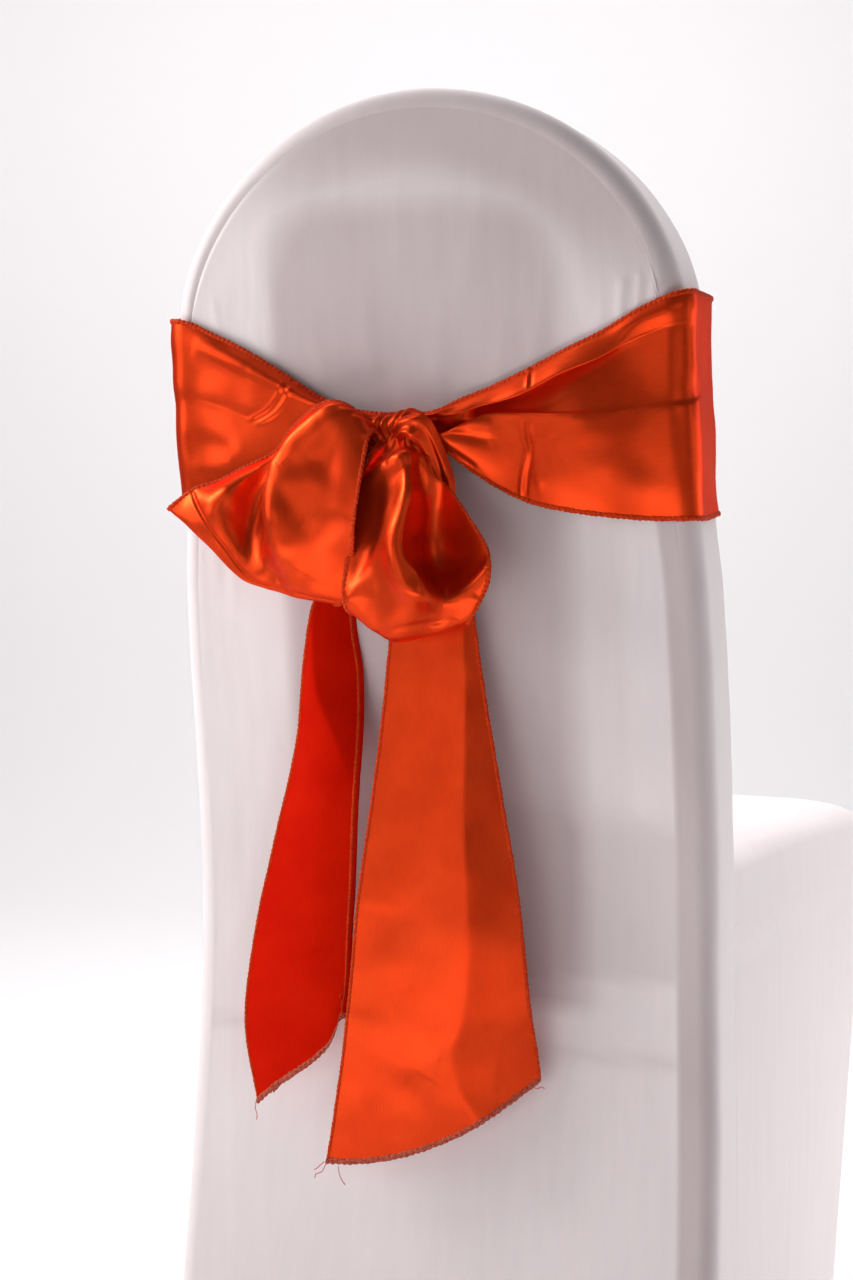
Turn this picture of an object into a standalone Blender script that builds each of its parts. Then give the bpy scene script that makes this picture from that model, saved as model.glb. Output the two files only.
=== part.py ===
"""Fitted stretch cover for an arched banquet chair, with a satin sash tied round its back.

Metres, Z up. The rear of the back, with the bow, faces -Y and the seat reaches out along +Y.
Heights in the sizes and tables are above the floor. The finished pieces are set down so that
the origin lies just under the top of the arch, where the chair's back holds the cover.
Every piece is a thin closed shell: an open sheet is worked out as a grid of points,
and a copy of it, set in by the cloth's thickness, closes it.
"""
import bpy
import numpy as np

for item in list(bpy.data.objects):
    bpy.data.objects.remove(item, do_unlink=True)

MM = 0.001

# ---- cloth ----
COVER_CLOTH = 0.0015       # stretch cloth of the cover
SASH_CLOTH = 0.0012        # satin of the sash
SEAM_GAP = 0.0005          # two pieces never touch along a seam
MERGE = 0.00002            # points nearer than this are one point

# ---- the back ----
TOP_Z = 1.000              # top of the arch
ARCH_HALF_WIDTH = 0.1940   # half width where the arch springs
ARCH_HEIGHT = 0.185        # from there to the top
SPRING_Z = TOP_Z - ARCH_HEIGHT
BACK_DEPTH = 0.063         # from the rear panel to the sitter's side
EDGE_ROUND = 0.018         # rounding of the padded edge
SEAM_INSET = 0.022         # the seams of the gusset lie this far in from the outline
CROWN = 0.003              # how far the padding swells the rear and inner panels
SQUEEZE = 0.017            # the tight sash draws the padding in by this share of its width
SQUEEZE_FOOT = (0.66, 0.73)     # heights over which the squeeze sets in
SQUEEZE_HEAD = (0.83, 0.90)     # heights over which it lets go again

# height, how far the rear stands forward of the plane of the waist
LEAN = ((0.00, -0.0238), (0.22, 0.0147), (0.43, 0.0255), (0.66, 0.0), (0.82, -0.0220),
        (1.00, -0.0365))
# height, half width of the back over its padded edges
HALF_WIDTH = ((0.00, 0.2058), (0.20, 0.2049), (0.40, 0.1997), (0.55, 0.1993), (0.62, 0.1985),
              (0.70, 0.1957), (0.76, 0.1942), (0.815, 0.1940))

# ---- the seat and skirts ----
SEAT_CROWN_Z = 0.478       # highest part of the seat pad
SEAT_REAR_Z = 0.449        # crease where the seat meets the back
INNER_FOOT_Z = 0.440       # lower edge of the sitter's side panel, behind that crease
SEAT_EDGE_POWER = 5.0      # how square the padded edge of the seat is
SEAT_LIP = 0.004           # the cloth drops straight this far to the edge seam
FRONT_Y = 0.457            # front of the seat at its edge seam
FRONT_HALF_WIDTH = 0.221   # half width of the seat at its front
FOOT_INSET = 0.023         # the front corners draw in this far by the floor, each way
CORNER_ROUND = 0.020       # rounding of the two front corners in plan
HEM_Z = 0.006              # hem at the four corners
HEM_RISE = 0.030           # the hem arches this much between them
TUCK_TOP_Z = 0.415         # above this the gusset turns right round the edge
TUCK_FOOT_Z = 0.395        # below this it only turns a little way
TUCK_TURN = np.radians(30.0)

# share of the way forward, height of the seat's edge seam
SEAT_SEAM = ((0.00, 0.412), (0.25, 0.421), (0.60, 0.4255), (1.00, 0.4195))

# ---- the sash ----
SASH_CLEAR = 0.0027        # the band stands this far off the cover
KNOT_CENTRE = (-2.0, 26.8, 770.0)   # across, stand-off, height, mm
KNOT_HALF = (29.5, 20.5, 15.5)
KNOT_PLEATS = 7

# The band round the back. Place: R rear, S side, F front, with the sign of the side.
# place, across mm, top mm, bottom mm, upper roll mm, lower belly mm
BAND = (
    ("knot", 0.0, 780.0, 762.0, 1.0, 1.0),
    ("rear", 24.0, 785.0, 758.0, 4.0, 2.0),
    ("rear", 46.0, 794.0, 741.0, 8.0, 5.0),
    ("rear", 85.0, 810.0, 718.5, 9.0, 7.0),
    ("rear", 130.0, 829.0, 710.0, 7.0, 7.0),
    ("rear", 168.0, 848.0, 707.5, 3.0, 4.0),
    ("side", 12.0, 861.0, 707.5, 0.0, 0.0),
    ("side", 50.0, 864.0, 711.0, 0.0, 0.0),
    ("front", 150.0, 864.0, 713.0, 0.0, 0.0),
    ("front", 0.0, 862.0, 712.0, 0.0, 0.0),
    ("front", -150.0, 860.0, 709.0, 0.0, 0.0),
    ("side", -50.0, 858.0, 706.0, 0.0, 0.0),
    ("side", -12.0, 854.0, 703.0, 0.5, 0.0),
    ("rear", -168.0, 846.0, 704.0, 2.0, 1.0),
    ("rear", -137.0, 834.0, 710.0, 3.0, 2.0),
    ("rear", -110.0, 821.5, 719.0, 4.0, 2.0),
    ("rear", -80.0, 801.0, 734.0, 4.0, 2.0),
    ("rear", -55.0, 787.0, 748.0, 3.0, 2.0),
    ("rear", -27.0, 782.0, 758.0, 2.0, 1.0),
)

# Loops: a row for each section from the knot out to the turn and back behind to the knot.
# Each entry is (across, stand-off, height) in mm; columns run from one serged edge to the other.
# outer edge, first ridge, valley, second ridge, face, inner rim
LEFT_LOOP = (
    ((-22, 22, 777), (-21, 26, 775), (-20, 29, 773), (-19, 30, 770), (-18, 28, 768), (-18, 24, 766)),
    ((-54, 28, 788), (-52, 32, 785), (-50, 34, 780), (-43, 42, 781), (-32, 44, 769), (-24, 44, 754)),
    ((-83, 24, 775), (-85, 30, 764), (-86, 30, 755), (-81, 52, 756), (-44, 56, 742), (-21, 62, 721)),
    ((-117, 22, 752), (-119, 36, 738), (-109, 30, 730), (-89, 56, 736), (-51, 60, 715), (-25, 66, 701)),
    ((-149, 24, 736), (-135, 42, 726), (-119, 34, 702), (-88, 58, 708), (-57, 60, 688), (-31, 66, 681)),
    ((-168, 28, 730), (-150, 42, 709), (-120, 42, 681), (-86, 56, 681), (-61, 58, 667), (-37, 62, 662)),
    ((-185, 31, 718), (-161, 36, 699), (-128, 39, 669), (-89, 45, 657), (-66, 49, 653), (-46, 53, 650)),
    ((-182, 22, 722), (-160, 25, 705), (-131, 27, 677), (-97, 29, 666), (-78, 31, 661), (-59, 34, 657)),
    ((-135, 14, 744), (-124, 14, 730), (-109, 16, 716), (-89, 17, 709), (-75, 19, 705), (-57, 22, 702)),
    ((-62, 15, 781), (-58, 15, 774), (-53, 15, 769), (-47, 16, 765), (-41, 17, 762), (-33, 18, 758)),
    ((-22, 14, 777), (-22, 14, 774), (-21, 14, 771), (-20, 15, 768), (-19, 16, 765), (-18, 17, 762)),
)
# outer edge, face, ridge, valley, rim
RIGHT_LOOP = (
    ((-14, 24, 768), (-7, 28, 768), (0, 31, 768), (6, 29, 767), (10, 25, 766)),
    ((-24, 34, 752), (-9, 41, 754), (8, 48, 752), (13, 38, 747), (22, 34, 742)),
    ((-34, 46, 715), (-12, 50, 718), (17, 66, 721), (17, 34, 713), (46, 40, 716)),
    ((-38, 52, 681), (-17, 56, 681), (14, 74, 691), (18, 36, 682), (64, 44, 689)),
    ((-40, 56, 659), (-13, 62, 654), (26, 77, 665), (34, 52, 662), (68, 52, 669)),
    ((-39, 50, 646), (-20, 55, 634), (1, 57, 627), (27, 54, 633), (50, 50, 641)),
    ((-42, 38, 651), (-23, 40, 641), (-3, 42, 637), (21, 40, 642), (44, 38, 650)),
    ((-38, 26, 688), (-20, 24, 686), (-4, 23, 686), (18, 24, 689), (40, 26, 695)),
    ((-17, 16, 760), (-9, 15, 761), (-2, 14, 762), (6, 15, 761), (13, 16, 760)),
)

# Tails: left edge across and height, right edge across and height, world stand-off, all mm,
# and how far the middle bows forward of the line between the two edges.
TAIL_RIGHT = (
    (-9, 764, 9, 764, -27, 0),
    (-14, 715, 24, 715, -20, 1),
    (-19, 655, 38, 657, -18, 3),
    (-26, 585, 48, 588, -17, 6),
    (-36, 511, 60, 515, -15, 9),
    (-47, 438, 71, 447, -13, 9),
    (-56, 358, 79, 378, -12, 8),
    (-64, 297, 83, 350, -11, 6),
    (-73, 249, 86, 323, -10, 4),
)
# the same, then how far the folded-back part returns behind the right edge, mm
TAIL_LEFT = (
    (-16, 764, -10, 764, -28, 0, 3),
    (-46, 715, -26, 712, -22, 1, 10),
    (-72, 655, -47, 652, -18, 2, 20),
    (-86, 610, -50, 600, -17, 3, 30),
    (-96, 552, -50, 545, -16, 4, 40),
    (-115, 478, -53, 480, -14, 5, 46),
    (-132, 409, -57, 425, -12, 5, 50),
    (-140, 345, -60, 385, -11, 4, 50),
    (-130, 287, -64, 358, -10, 3, 48),
)
TAIL_RETURN_GAP = 6.0      # the folded-back part hangs this far behind, mm

# ---- mesh fineness ----
# heights that panels and gusset share above the tuck, so that their seams agree
LEG_HEIGHTS = (0.415, 0.49, 0.56, 0.62, 0.665, 0.70, 0.735, 0.775, 0.815)
LEG_FOOT_STEPS = 4         # steps from the hem to the tuck
REAR_ARCH_ROWS = 4
ARCH_STEPS = 18            # shared by the panels and the gusset, so their edges agree
GUSSET_ROUND_STEPS = 3
SEAT_RINGS = (0.4, 0.72, 0.88, 0.95, 1.0)
SEAT_SIDE_STEPS = 7
SKIRT_ROWS = 7
CORNER_STEPS = 3


def spline(at, rows, column=1):
    """Smooth curve through the rows: cubic pieces whose slopes are those of the neighbours."""
    table = np.array([[row[0], row[column]] for row in rows], dtype=float)
    place, value = table[:, 0], table[:, 1]
    slope = np.gradient(value, place)
    at = np.clip(np.asarray(at, dtype=float), place[0], place[-1])
    low = np.clip(np.searchsorted(place, at) - 1, 0, len(place) - 2)
    span = place[low + 1] - place[low]
    u = (at - place[low]) / span
    return ((2 * u**3 - 3 * u**2 + 1) * value[low] + (u**3 - 2 * u**2 + u) * span * slope[low]
            + (3 * u**2 - 2 * u**3) * value[low + 1] + (u**3 - u**2) * span * slope[low + 1])


def lean(height):
    """How far forward the rear of the back lies at a height."""
    return spline(height, LEAN)


def half_width(height):
    """Half width of the back below the arch."""
    return spline(height, HALF_WIDTH)


def smooth(at, low, high):
    """Soft step from 0 at low to 1 at high."""
    u = np.clip((np.asarray(at, dtype=float) - low) / (high - low), 0.0, 1.0)
    return u * u * (3.0 - 2.0 * u)


def squeezed(grid):
    """The same points with the padding drawn in across, under the sash."""
    grid = grid.copy()
    grid[..., 0] *= squeeze(grid[..., 2])
    return grid


def squeeze(height):
    """Share of its width that the back keeps at a height."""
    return 1.0 - SQUEEZE * smooth(height, *SQUEEZE_FOOT) * (1.0 - smooth(height, *SQUEEZE_HEAD))


def hem(share):
    """Height of the hem at a share of the way from one corner to the next."""
    return HEM_Z + HEM_RISE * 4.0 * share * (1.0 - share)


def merged(points, faces):
    """Points that coincide become one, and faces that shrink to a line go."""
    keys = np.round(points / MERGE).astype(np.int64)
    _, first, back = np.unique(keys, axis=0, return_index=True, return_inverse=True)
    back = back.reshape(-1)
    kept = []
    for face in back[faces].tolist():
        ring = [v for k, v in enumerate(face) if v != face[k - 1]]
        if len(set(ring)) >= 3:
            kept.append(ring)
    return points[first], kept


def grid_sheet(grid, wrap=False):
    """Open sheet of four-sided faces over a grid of points, joined end to end where it wraps."""
    rows, columns = grid.shape[:2]
    index = np.arange(rows * columns).reshape(rows, columns)
    following = np.roll(index, -1, axis=0) if wrap else index[1:]
    here = index if wrap else index[:-1]
    faces = np.stack([here[:, :-1], following[:, :-1], following[:, 1:], here[:, 1:]], axis=-1)
    return merged(grid.reshape(-1, 3), faces.reshape(-1, 4))


def triangles(faces):
    """Every face as a fan of triangles."""
    fan = []
    for face in faces:
        fan.extend([face[0], face[k], face[k + 1]] for k in range(1, len(face) - 1))
    return np.array(fan)


def shell(points, faces, thickness):
    """Closed solid: the sheet, a copy set in along the normals, and a strip round the edge."""
    fan = triangles(faces)
    across = np.cross(points[fan[:, 1]] - points[fan[:, 0]], points[fan[:, 2]] - points[fan[:, 0]])
    normal = np.zeros_like(points)
    for k in range(3):
        np.add.at(normal, fan[:, k], across)
    normal /= np.linalg.norm(normal, axis=1)[:, None]
    inner = points - normal * thickness
    count = len(points)
    faces = fan.tolist()
    solid = faces + [[v + count for v in reversed(face)] for face in faces]
    edges = {}
    for face in faces:
        for k, v in enumerate(face):
            edges[(v, face[(k + 1) % len(face)])] = True
    for a, b in edges:
        if (b, a) not in edges:
            solid.append([b, a, a + count, b + count])
    return np.vstack([points, inner]), solid


def cloth_material(name, colour, roughness):
    """Plain Principled material of one colour."""
    material = bpy.data.materials.new(name)
    material.use_nodes = True
    shader = material.node_tree.nodes["Principled BSDF"]
    shader.inputs["Base Color"].default_value = (*colour, 1.0)
    shader.inputs["Roughness"].default_value = roughness
    return material


def add_object(name, points, faces, material):
    """New mesh object named for its piece, measured from the point that holds the cover."""
    held = np.array([0.0, lean(TOP_Z) + BACK_DEPTH / 2, TOP_Z - COVER_CLOTH])
    mesh = bpy.data.meshes.new(name)
    mesh.from_pydata((points - held).tolist(), [], [list(face) for face in faces])
    mesh.update()
    mesh.materials.append(material)
    thing = bpy.data.objects.new(name, mesh)
    bpy.context.scene.collection.objects.link(thing)
    return thing


# ---------------------------------------------------------------- the back
def arch_ring(angle, inset):
    """Point of the arch at an angle from the top, set in from the outline."""
    across = (ARCH_HALF_WIDTH - inset) * np.sin(angle)
    height = SPRING_Z + (ARCH_HEIGHT - inset) * np.cos(angle)
    return across, height


def back_panel(foot, inset, depth, crown, crown_foot):
    """Panel of the back inside its seam: columns that end on the arch, rows below and above."""
    angle = np.linspace(-np.pi / 2, np.pi / 2, ARCH_STEPS + 1)[:, None]
    share = np.sin(angle)
    start = foot(0.5 + 0.5 * share) if callable(foot) else foot + 0.0 * share
    upper = np.array([row for row in LEG_HEIGHTS if row > start.min() + 0.01])[None, :]
    if start.min() < TUCK_FOOT_Z:
        low = np.linspace(0.0, 1.0, LEG_FOOT_STEPS + 1)[None, :]
        start = start + (TUCK_FOOT_Z - start) * low
    height_low = np.hstack([start, upper + 0.0 * share])
    across_low = share * (half_width(height_low) - inset)
    high = np.linspace(0.0, 1.0, REAR_ARCH_ROWS + 1)[None, 1:]
    height_high = SPRING_Z + high * (ARCH_HEIGHT - inset) * np.cos(angle)
    across_high = share * (ARCH_HALF_WIDTH - inset) + 0.0 * high
    across = np.hstack([across_low, across_high])
    height = np.hstack([height_low, height_high])
    rise = smooth(height, crown_foot, crown_foot + 0.15)
    rim = np.clip(np.hypot(across / (ARCH_HALF_WIDTH - inset),
                           np.clip(height - SPRING_Z, 0.0, None) / (ARCH_HEIGHT - inset)), 0, 1)
    swell = crown * rise * (1.0 - rim**3) ** 2
    return squeezed(np.stack([across, lean(height) + depth + swell, height], axis=-1))


def gusset_section(height):
    """Inset and depth across the strip: rear rounding, flat side, and the turn at the front."""
    turn = TUCK_TURN + (np.pi / 2 - TUCK_TURN) * smooth(height, TUCK_FOOT_Z, TUCK_TOP_Z)
    step = np.linspace(0.0, 1.0, GUSSET_ROUND_STEPS + 1)
    rear = step * np.pi / 2
    inset = np.concatenate([[SEAM_INSET], EDGE_ROUND * (1.0 - np.sin(rear)), [0.0]])
    depth = np.concatenate([[0.0], EDGE_ROUND * (1.0 - np.cos(rear)), [BACK_DEPTH / 2]])
    front = turn[:, None] * step[None, :]
    front_inset = EDGE_ROUND * (1.0 - np.cos(front))
    front_depth = BACK_DEPTH - EDGE_ROUND * (1.0 - np.sin(front))
    flat = SEAM_INSET - EDGE_ROUND
    last_inset = front_inset[:, -1:] + flat * np.sin(turn[:, None])
    last_depth = front_depth[:, -1:] + flat * np.cos(turn[:, None])
    count = len(height)
    return (np.hstack([np.tile(inset, (count, 1)), front_inset, last_inset]),
            np.hstack([np.tile(depth, (count, 1)), front_depth, last_depth]))


def gusset_grid():
    """The strip from the left foot over the arch to the right foot."""
    leg = np.concatenate([np.linspace(HEM_Z, TUCK_FOOT_Z, LEG_FOOT_STEPS + 1),
                          [0.5 * (TUCK_FOOT_Z + TUCK_TOP_Z)], LEG_HEIGHTS[:-1]])
    angle = np.linspace(-np.pi / 2, np.pi / 2, ARCH_STEPS + 1)
    inset, depth = gusset_section(leg)
    across = half_width(leg)[:, None] - inset
    height = np.tile(leg[:, None], (1, inset.shape[1]))
    left = np.stack([-across, depth, height], axis=-1)
    right = np.stack([across, depth, height], axis=-1)[::-1]
    inset, depth = gusset_section(np.full(len(angle), TOP_Z))
    across, height = arch_ring(angle[:, None], inset)
    arch = np.stack([across, depth, height], axis=-1)
    grid = np.concatenate([left, arch, right])
    grid[..., 1] += lean(grid[..., 2])
    return squeezed(grid)


# ---------------------------------------------------------------- seat and skirts
def tuck_end(height):
    """Across and depth of the gusset's front edge at a height below the seat."""
    turn = TUCK_TURN + (np.pi / 2 - TUCK_TURN) * smooth(height, TUCK_FOOT_Z, TUCK_TOP_Z)
    flat = SEAM_INSET - EDGE_ROUND
    across = half_width(height) - EDGE_ROUND * (1.0 - np.cos(turn)) - flat * np.sin(turn)
    depth = BACK_DEPTH - EDGE_ROUND * (1.0 - np.sin(turn)) + flat * np.cos(turn)
    return across, lean(height) + depth + 2.0 * SEAM_GAP


def seam_height(share):
    """Height of the seat's edge seam at a share of the way forward."""
    return spline(share, SEAT_SEAM)


def plan_half(height, share):
    """Right half of the plan at a height: straight side, rounded front corner, straight front.

    The share runs 0 to 1 up the side, 1 to 2 round the corner and 2 to 3 to the middle.
    """
    taper = FOOT_INSET * (1.0 - np.clip(height / SEAT_SEAM[-1][1], 0.0, 1.0))
    width = FRONT_HALF_WIDTH - taper
    front = FRONT_Y - taper
    rear_x, rear_y = tuck_end(height)
    side = np.clip(share, 0.0, 1.0)
    turn = np.clip(share - 1.0, 0.0, 1.0) * np.pi / 2
    run = np.clip(share - 2.0, 0.0, 1.0)
    centre_x, centre_y = width - CORNER_ROUND, front - CORNER_ROUND
    across = np.where(share <= 1.0, rear_x + (width - rear_x) * side,
                      np.where(share <= 2.0, centre_x + CORNER_ROUND * np.cos(turn),
                               centre_x * (1.0 - run)))
    forward = np.where(share <= 1.0, rear_y + (centre_y - rear_y) * side,
                       np.where(share <= 2.0, centre_y + CORNER_ROUND * np.sin(turn), front))
    return across, forward


def edge_height(share):
    """Height of the seat seam over the same share as plan_half."""
    return seam_height(np.clip(share, 0.0, 1.0))


def skirt_grid(share, hem_share):
    """Right half of a skirt: rows from the hem to just under the seat seam."""
    share = share[:, None]
    foot = hem(hem_share)[:, None]
    top = edge_height(share) - SEAM_GAP
    rise = np.linspace(0.0, 1.0, SKIRT_ROWS)[None, :]
    height = foot + (top - foot) * rise
    share = share + 0.0 * rise
    across, forward = plan_half(height, share)
    return np.stack([across, forward, height], axis=-1)


def mirrored(grid):
    """The same grid on the other side of the middle, its rows turned to keep faces outward."""
    return grid[::-1] * np.array([-1.0, 1.0, 1.0])


def seat_points():
    """Crowned seat: rings of its outline drawn in to a middle point, rounded down at the edge."""
    side = np.linspace(0.0, 1.0, SEAT_SIDE_STEPS)
    corner = np.linspace(1.0, 2.0, 2 * CORNER_STEPS + 1)[1:]
    run = np.linspace(2.0, 3.0, 5)[1:]
    share = np.concatenate([side, corner, run])
    height = edge_height(share)
    across, forward = plan_half(height, share)
    right = np.stack([across, forward, height], axis=-1)
    left = right[-2::-1] * np.array([-1.0, 1.0, 1.0])
    across = np.linspace(-1.0, 1.0, 9)[1:-1] * (right[0, 0] - 0.004)
    rear_z = SEAT_REAR_Z + 0.0 * across
    rear_y = lean(rear_z) + BACK_DEPTH + SEAM_GAP + 0.0008
    rear = np.stack([across, rear_y, rear_z], axis=-1)
    outline = np.concatenate([right, left, rear])
    outline[: len(right) + len(left), 1] += 0.0006 * (outline[: len(right) + len(left), 1] < 0.1)
    centre = np.array([0.0, 0.28, 0.0])
    ring = np.append(SEAT_RINGS, 1.0)
    plan = centre[None, None, :2] + ring[:, None, None] * (outline[None, :, :2] - centre[:2])
    edge = outline[None, :, 2]
    drop = (1.0 - ring[:, None] ** SEAT_EDGE_POWER) ** (1.0 / SEAT_EDGE_POWER)
    height = edge + SEAT_LIP + (SEAT_CROWN_Z - edge - SEAT_LIP) * drop
    height[-1] = edge[0]
    points = np.concatenate([plan, height[..., None]], axis=-1)
    middle = np.array([[0.0, centre[1], SEAT_CROWN_Z]])
    rings, count = points.shape[:2]
    flat = np.vstack([points.reshape(-1, 3), middle])
    faces = []
    for a in range(count):
        b = (a + 1) % count
        faces.append([rings * count, a, b])
        for k in range(rings - 1):
            faces.append([k * count + a, (k + 1) * count + a, (k + 1) * count + b, k * count + b])
    return flat, faces


# ---------------------------------------------------------------- sash
def finer_rows(table, finer):
    """Table of rows made finer by a smooth curve through each of its columns."""
    table = np.asarray(table, dtype=float)
    count = len(table)
    flat = table.reshape(count, -1)
    at = np.linspace(0, count - 1, (count - 1) * finer + 1)
    curves = [spline(at, list(zip(range(count), column))) for column in flat.T]
    return np.stack(curves, axis=-1).reshape((len(at),) + table.shape[1:])


def smooth_grid(table, per_row, per_column):
    """Grid of points made finer along its rows and then along its columns."""
    grid = finer_rows(table, per_row)
    return np.moveaxis(finer_rows(np.moveaxis(grid, 1, 0), per_column), 0, 1)


def placed(grid):
    """From across, stand-off and height in mm to world metres, the stand-off from the rear."""
    grid = grid * MM
    return np.stack([grid[..., 0], lean(grid[..., 2]) - grid[..., 1], grid[..., 2]], axis=-1)


def band_place(kind, at):
    """Distance along the girth of the band for a row of its table, as a turn about the middle."""
    flat = ARCH_HALF_WIDTH
    if kind in ("knot", "rear"):
        return at
    if kind == "side":
        return np.sign(at) * (flat + abs(at))
    return np.sign(at) * (2 * flat + BACK_DEPTH - abs(at)) if at else 2 * flat + BACK_DEPTH


def girth_point(run, height, off):
    """Point round the back: flat rear, rounded corner, flat side, rounded corner, flat front."""
    radius = EDGE_ROUND + off
    flat_x = half_width(height) * squeeze(height) - EDGE_ROUND
    flat_y = BACK_DEPTH - 2.0 * EDGE_ROUND
    nominal = ARCH_HALF_WIDTH - EDGE_ROUND
    arc = 2.0 * EDGE_ROUND
    side = np.where(run < 0.0, -1.0, 1.0)
    run = np.abs(run)
    rear = np.clip(run / nominal, 0.0, 1.0)
    first = np.clip((run - nominal) / arc, 0.0, 1.0) * np.pi / 2
    along = np.clip((run - nominal - arc) / flat_y, 0.0, 1.0)
    second = np.clip((run - nominal - arc - flat_y) / arc, 0.0, 1.0) * np.pi / 2
    front = np.clip((run - nominal - 2.0 * arc - flat_y) / nominal, 0.0, 1.0)
    turn = first + second
    across = flat_x * (rear - front) + radius * np.sin(turn)
    forward = EDGE_ROUND + flat_y * along - radius * np.cos(turn)
    return np.stack([side * across, lean(height) + forward, height], axis=-1)


def band_grid(across_steps):
    """The ring of cloth round the back, with its upper roll and lower belly beside the knot."""
    place = np.array([band_place(row[0], row[1] * MM) for row in BAND])
    total = 4.0 * ARCH_HALF_WIDTH + 2.0 * BACK_DEPTH
    run = np.where(place < 0.0, place + total, place)
    order = np.argsort(run)
    run = run[order]
    rows = np.array([BAND[k][2:] for k in order]) * MM
    run = np.append(run, total)
    rows = np.vstack([rows, rows[:1]])
    flat = ARCH_HALF_WIDTH - EDGE_ROUND
    turns = flat + 2.0 * EDGE_ROUND * np.linspace(0.0, 1.0, CORNER_STEPS + 1)
    corners = np.concatenate([turns, total / 2 - turns])
    fine = np.interp(np.arange(0, len(run) - 1, 0.5), np.arange(len(run)), run)
    fine = fine[np.abs(np.minimum(fine, total - fine)) < flat - 0.004]
    front = total / 2 + np.array([-0.15, 0.0, 0.15])
    at = np.sort(np.concatenate([fine, corners, total - corners, front]))
    top, bottom, roll, belly = (np.interp(at, run, rows[:, k]) for k in range(4))
    rise = np.linspace(0.0, 1.0, across_steps)[None, :]
    height = bottom[:, None] + (top - bottom)[:, None] * rise
    upper = np.exp(-((rise - 0.82) / 0.13) ** 2)
    lower = np.exp(-((rise - 0.30) / 0.20) ** 2)
    signed = np.where(at > total / 2, at - total, at)[:, None] + 0.0 * rise
    from_middle = np.minimum(np.abs(signed), total / 2 - np.abs(signed))
    off = SASH_CLEAR + SASH_CLOTH + CROWN * (1.0 - smooth(from_middle, 0.12, 0.17))
    off = off + roll[:, None] * upper + belly[:, None] * lower
    return girth_point(signed, height, off)


def knot_sheet():
    """Closed wrap of the knot: a short fat roll lying across, its cloth drawn into pleats."""
    across = np.linspace(-1.0, 1.0, 15)[:, None]
    angle = np.linspace(0.0, 2 * np.pi, 12, endpoint=False)[None, :]
    girth = (1.0 - np.abs(across) ** 3.0) ** (1.0 / 2.2)
    girth = girth * (1.0 + 0.045 * np.cos(np.pi * KNOT_PLEATS * across))
    x = KNOT_CENTRE[0] + KNOT_HALF[0] * across + 0.0 * angle
    off = KNOT_CENTRE[1] + KNOT_HALF[1] * girth * np.cos(angle)
    z = KNOT_CENTRE[2] + KNOT_HALF[2] * girth * np.sin(angle)
    grid = placed(np.stack([x, off, z], axis=-1))
    return grid_sheet(np.transpose(grid, (1, 0, 2))[::-1], wrap=True)


def tail_grid(table, returns):
    """Hanging tail: straight across between its two edges, bowed, with a folded-back return."""
    rows = finer_rows(table, 2)
    share = np.linspace(0.0, 1.0, 6)[None, :]
    left_x, left_z, right_x, right_z, stand, bow = (rows[:, k, None] for k in range(6))
    across = left_x + (right_x - left_x) * share
    height = left_z + (right_z - left_z) * share
    forward = stand - bow * 4.0 * share * (1.0 - share)
    grid = np.stack([across, forward, height], axis=-1)
    if returns:
        back = rows[:, 6, None]
        radius = TAIL_RETURN_GAP / 2.0
        angle = np.radians(np.array([45.0, 90.0, 135.0]))[None, :]
        turn = np.stack([right_x + radius * np.sin(angle) + 0.0 * back,
                         stand + radius * (1.0 - np.cos(angle)),
                         right_z + 0.0 * angle], axis=-1)
        turned = np.array([0.05, 0.5, 1.0])[None, :]
        tilt = (left_z - right_z) / np.maximum(right_x - left_x, 1.0)
        fold = np.stack([right_x - back * turned, stand + 2.0 * radius + 0.0 * turned,
                         right_z + tilt * back * turned], axis=-1)
        grid = np.concatenate([grid, turn, fold], axis=1)
    return grid * MM


def sash_piece(name, points, faces, material, solid=False):
    """One part of the sash as its own closed shell, before the parts are joined."""
    if not solid:
        points, faces = shell(points, faces, SASH_CLOTH)
    return add_object(name, points, faces, material)


def build_sash(material):
    """The one length of satin: band, knot, loops and tails joined into a single solid."""
    parts = [
        sash_piece("sash", *knot_sheet(), material, solid=True),
        sash_piece("band", *grid_sheet(band_grid(7), wrap=True), material),
        sash_piece("left_loop", *grid_sheet(placed(smooth_grid(LEFT_LOOP, 2, 2))), material),
        sash_piece("right_loop", *grid_sheet(placed(smooth_grid(RIGHT_LOOP, 2, 2))), material),
        sash_piece("right_tail", *grid_sheet(tail_grid(TAIL_RIGHT, False)), material),
        sash_piece("left_tail", *grid_sheet(tail_grid(TAIL_LEFT, True)), material),
    ]
    whole = parts[0]
    bpy.context.view_layer.objects.active = whole
    for other in parts[1:]:
        cut = whole.modifiers.new("join", "BOOLEAN")
        cut.operation = "UNION"
        cut.solver = "EXACT"
        cut.object = other
        bpy.ops.object.modifier_apply(modifier=cut.name)
        bpy.data.objects.remove(other, do_unlink=True)
    return whole


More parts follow.
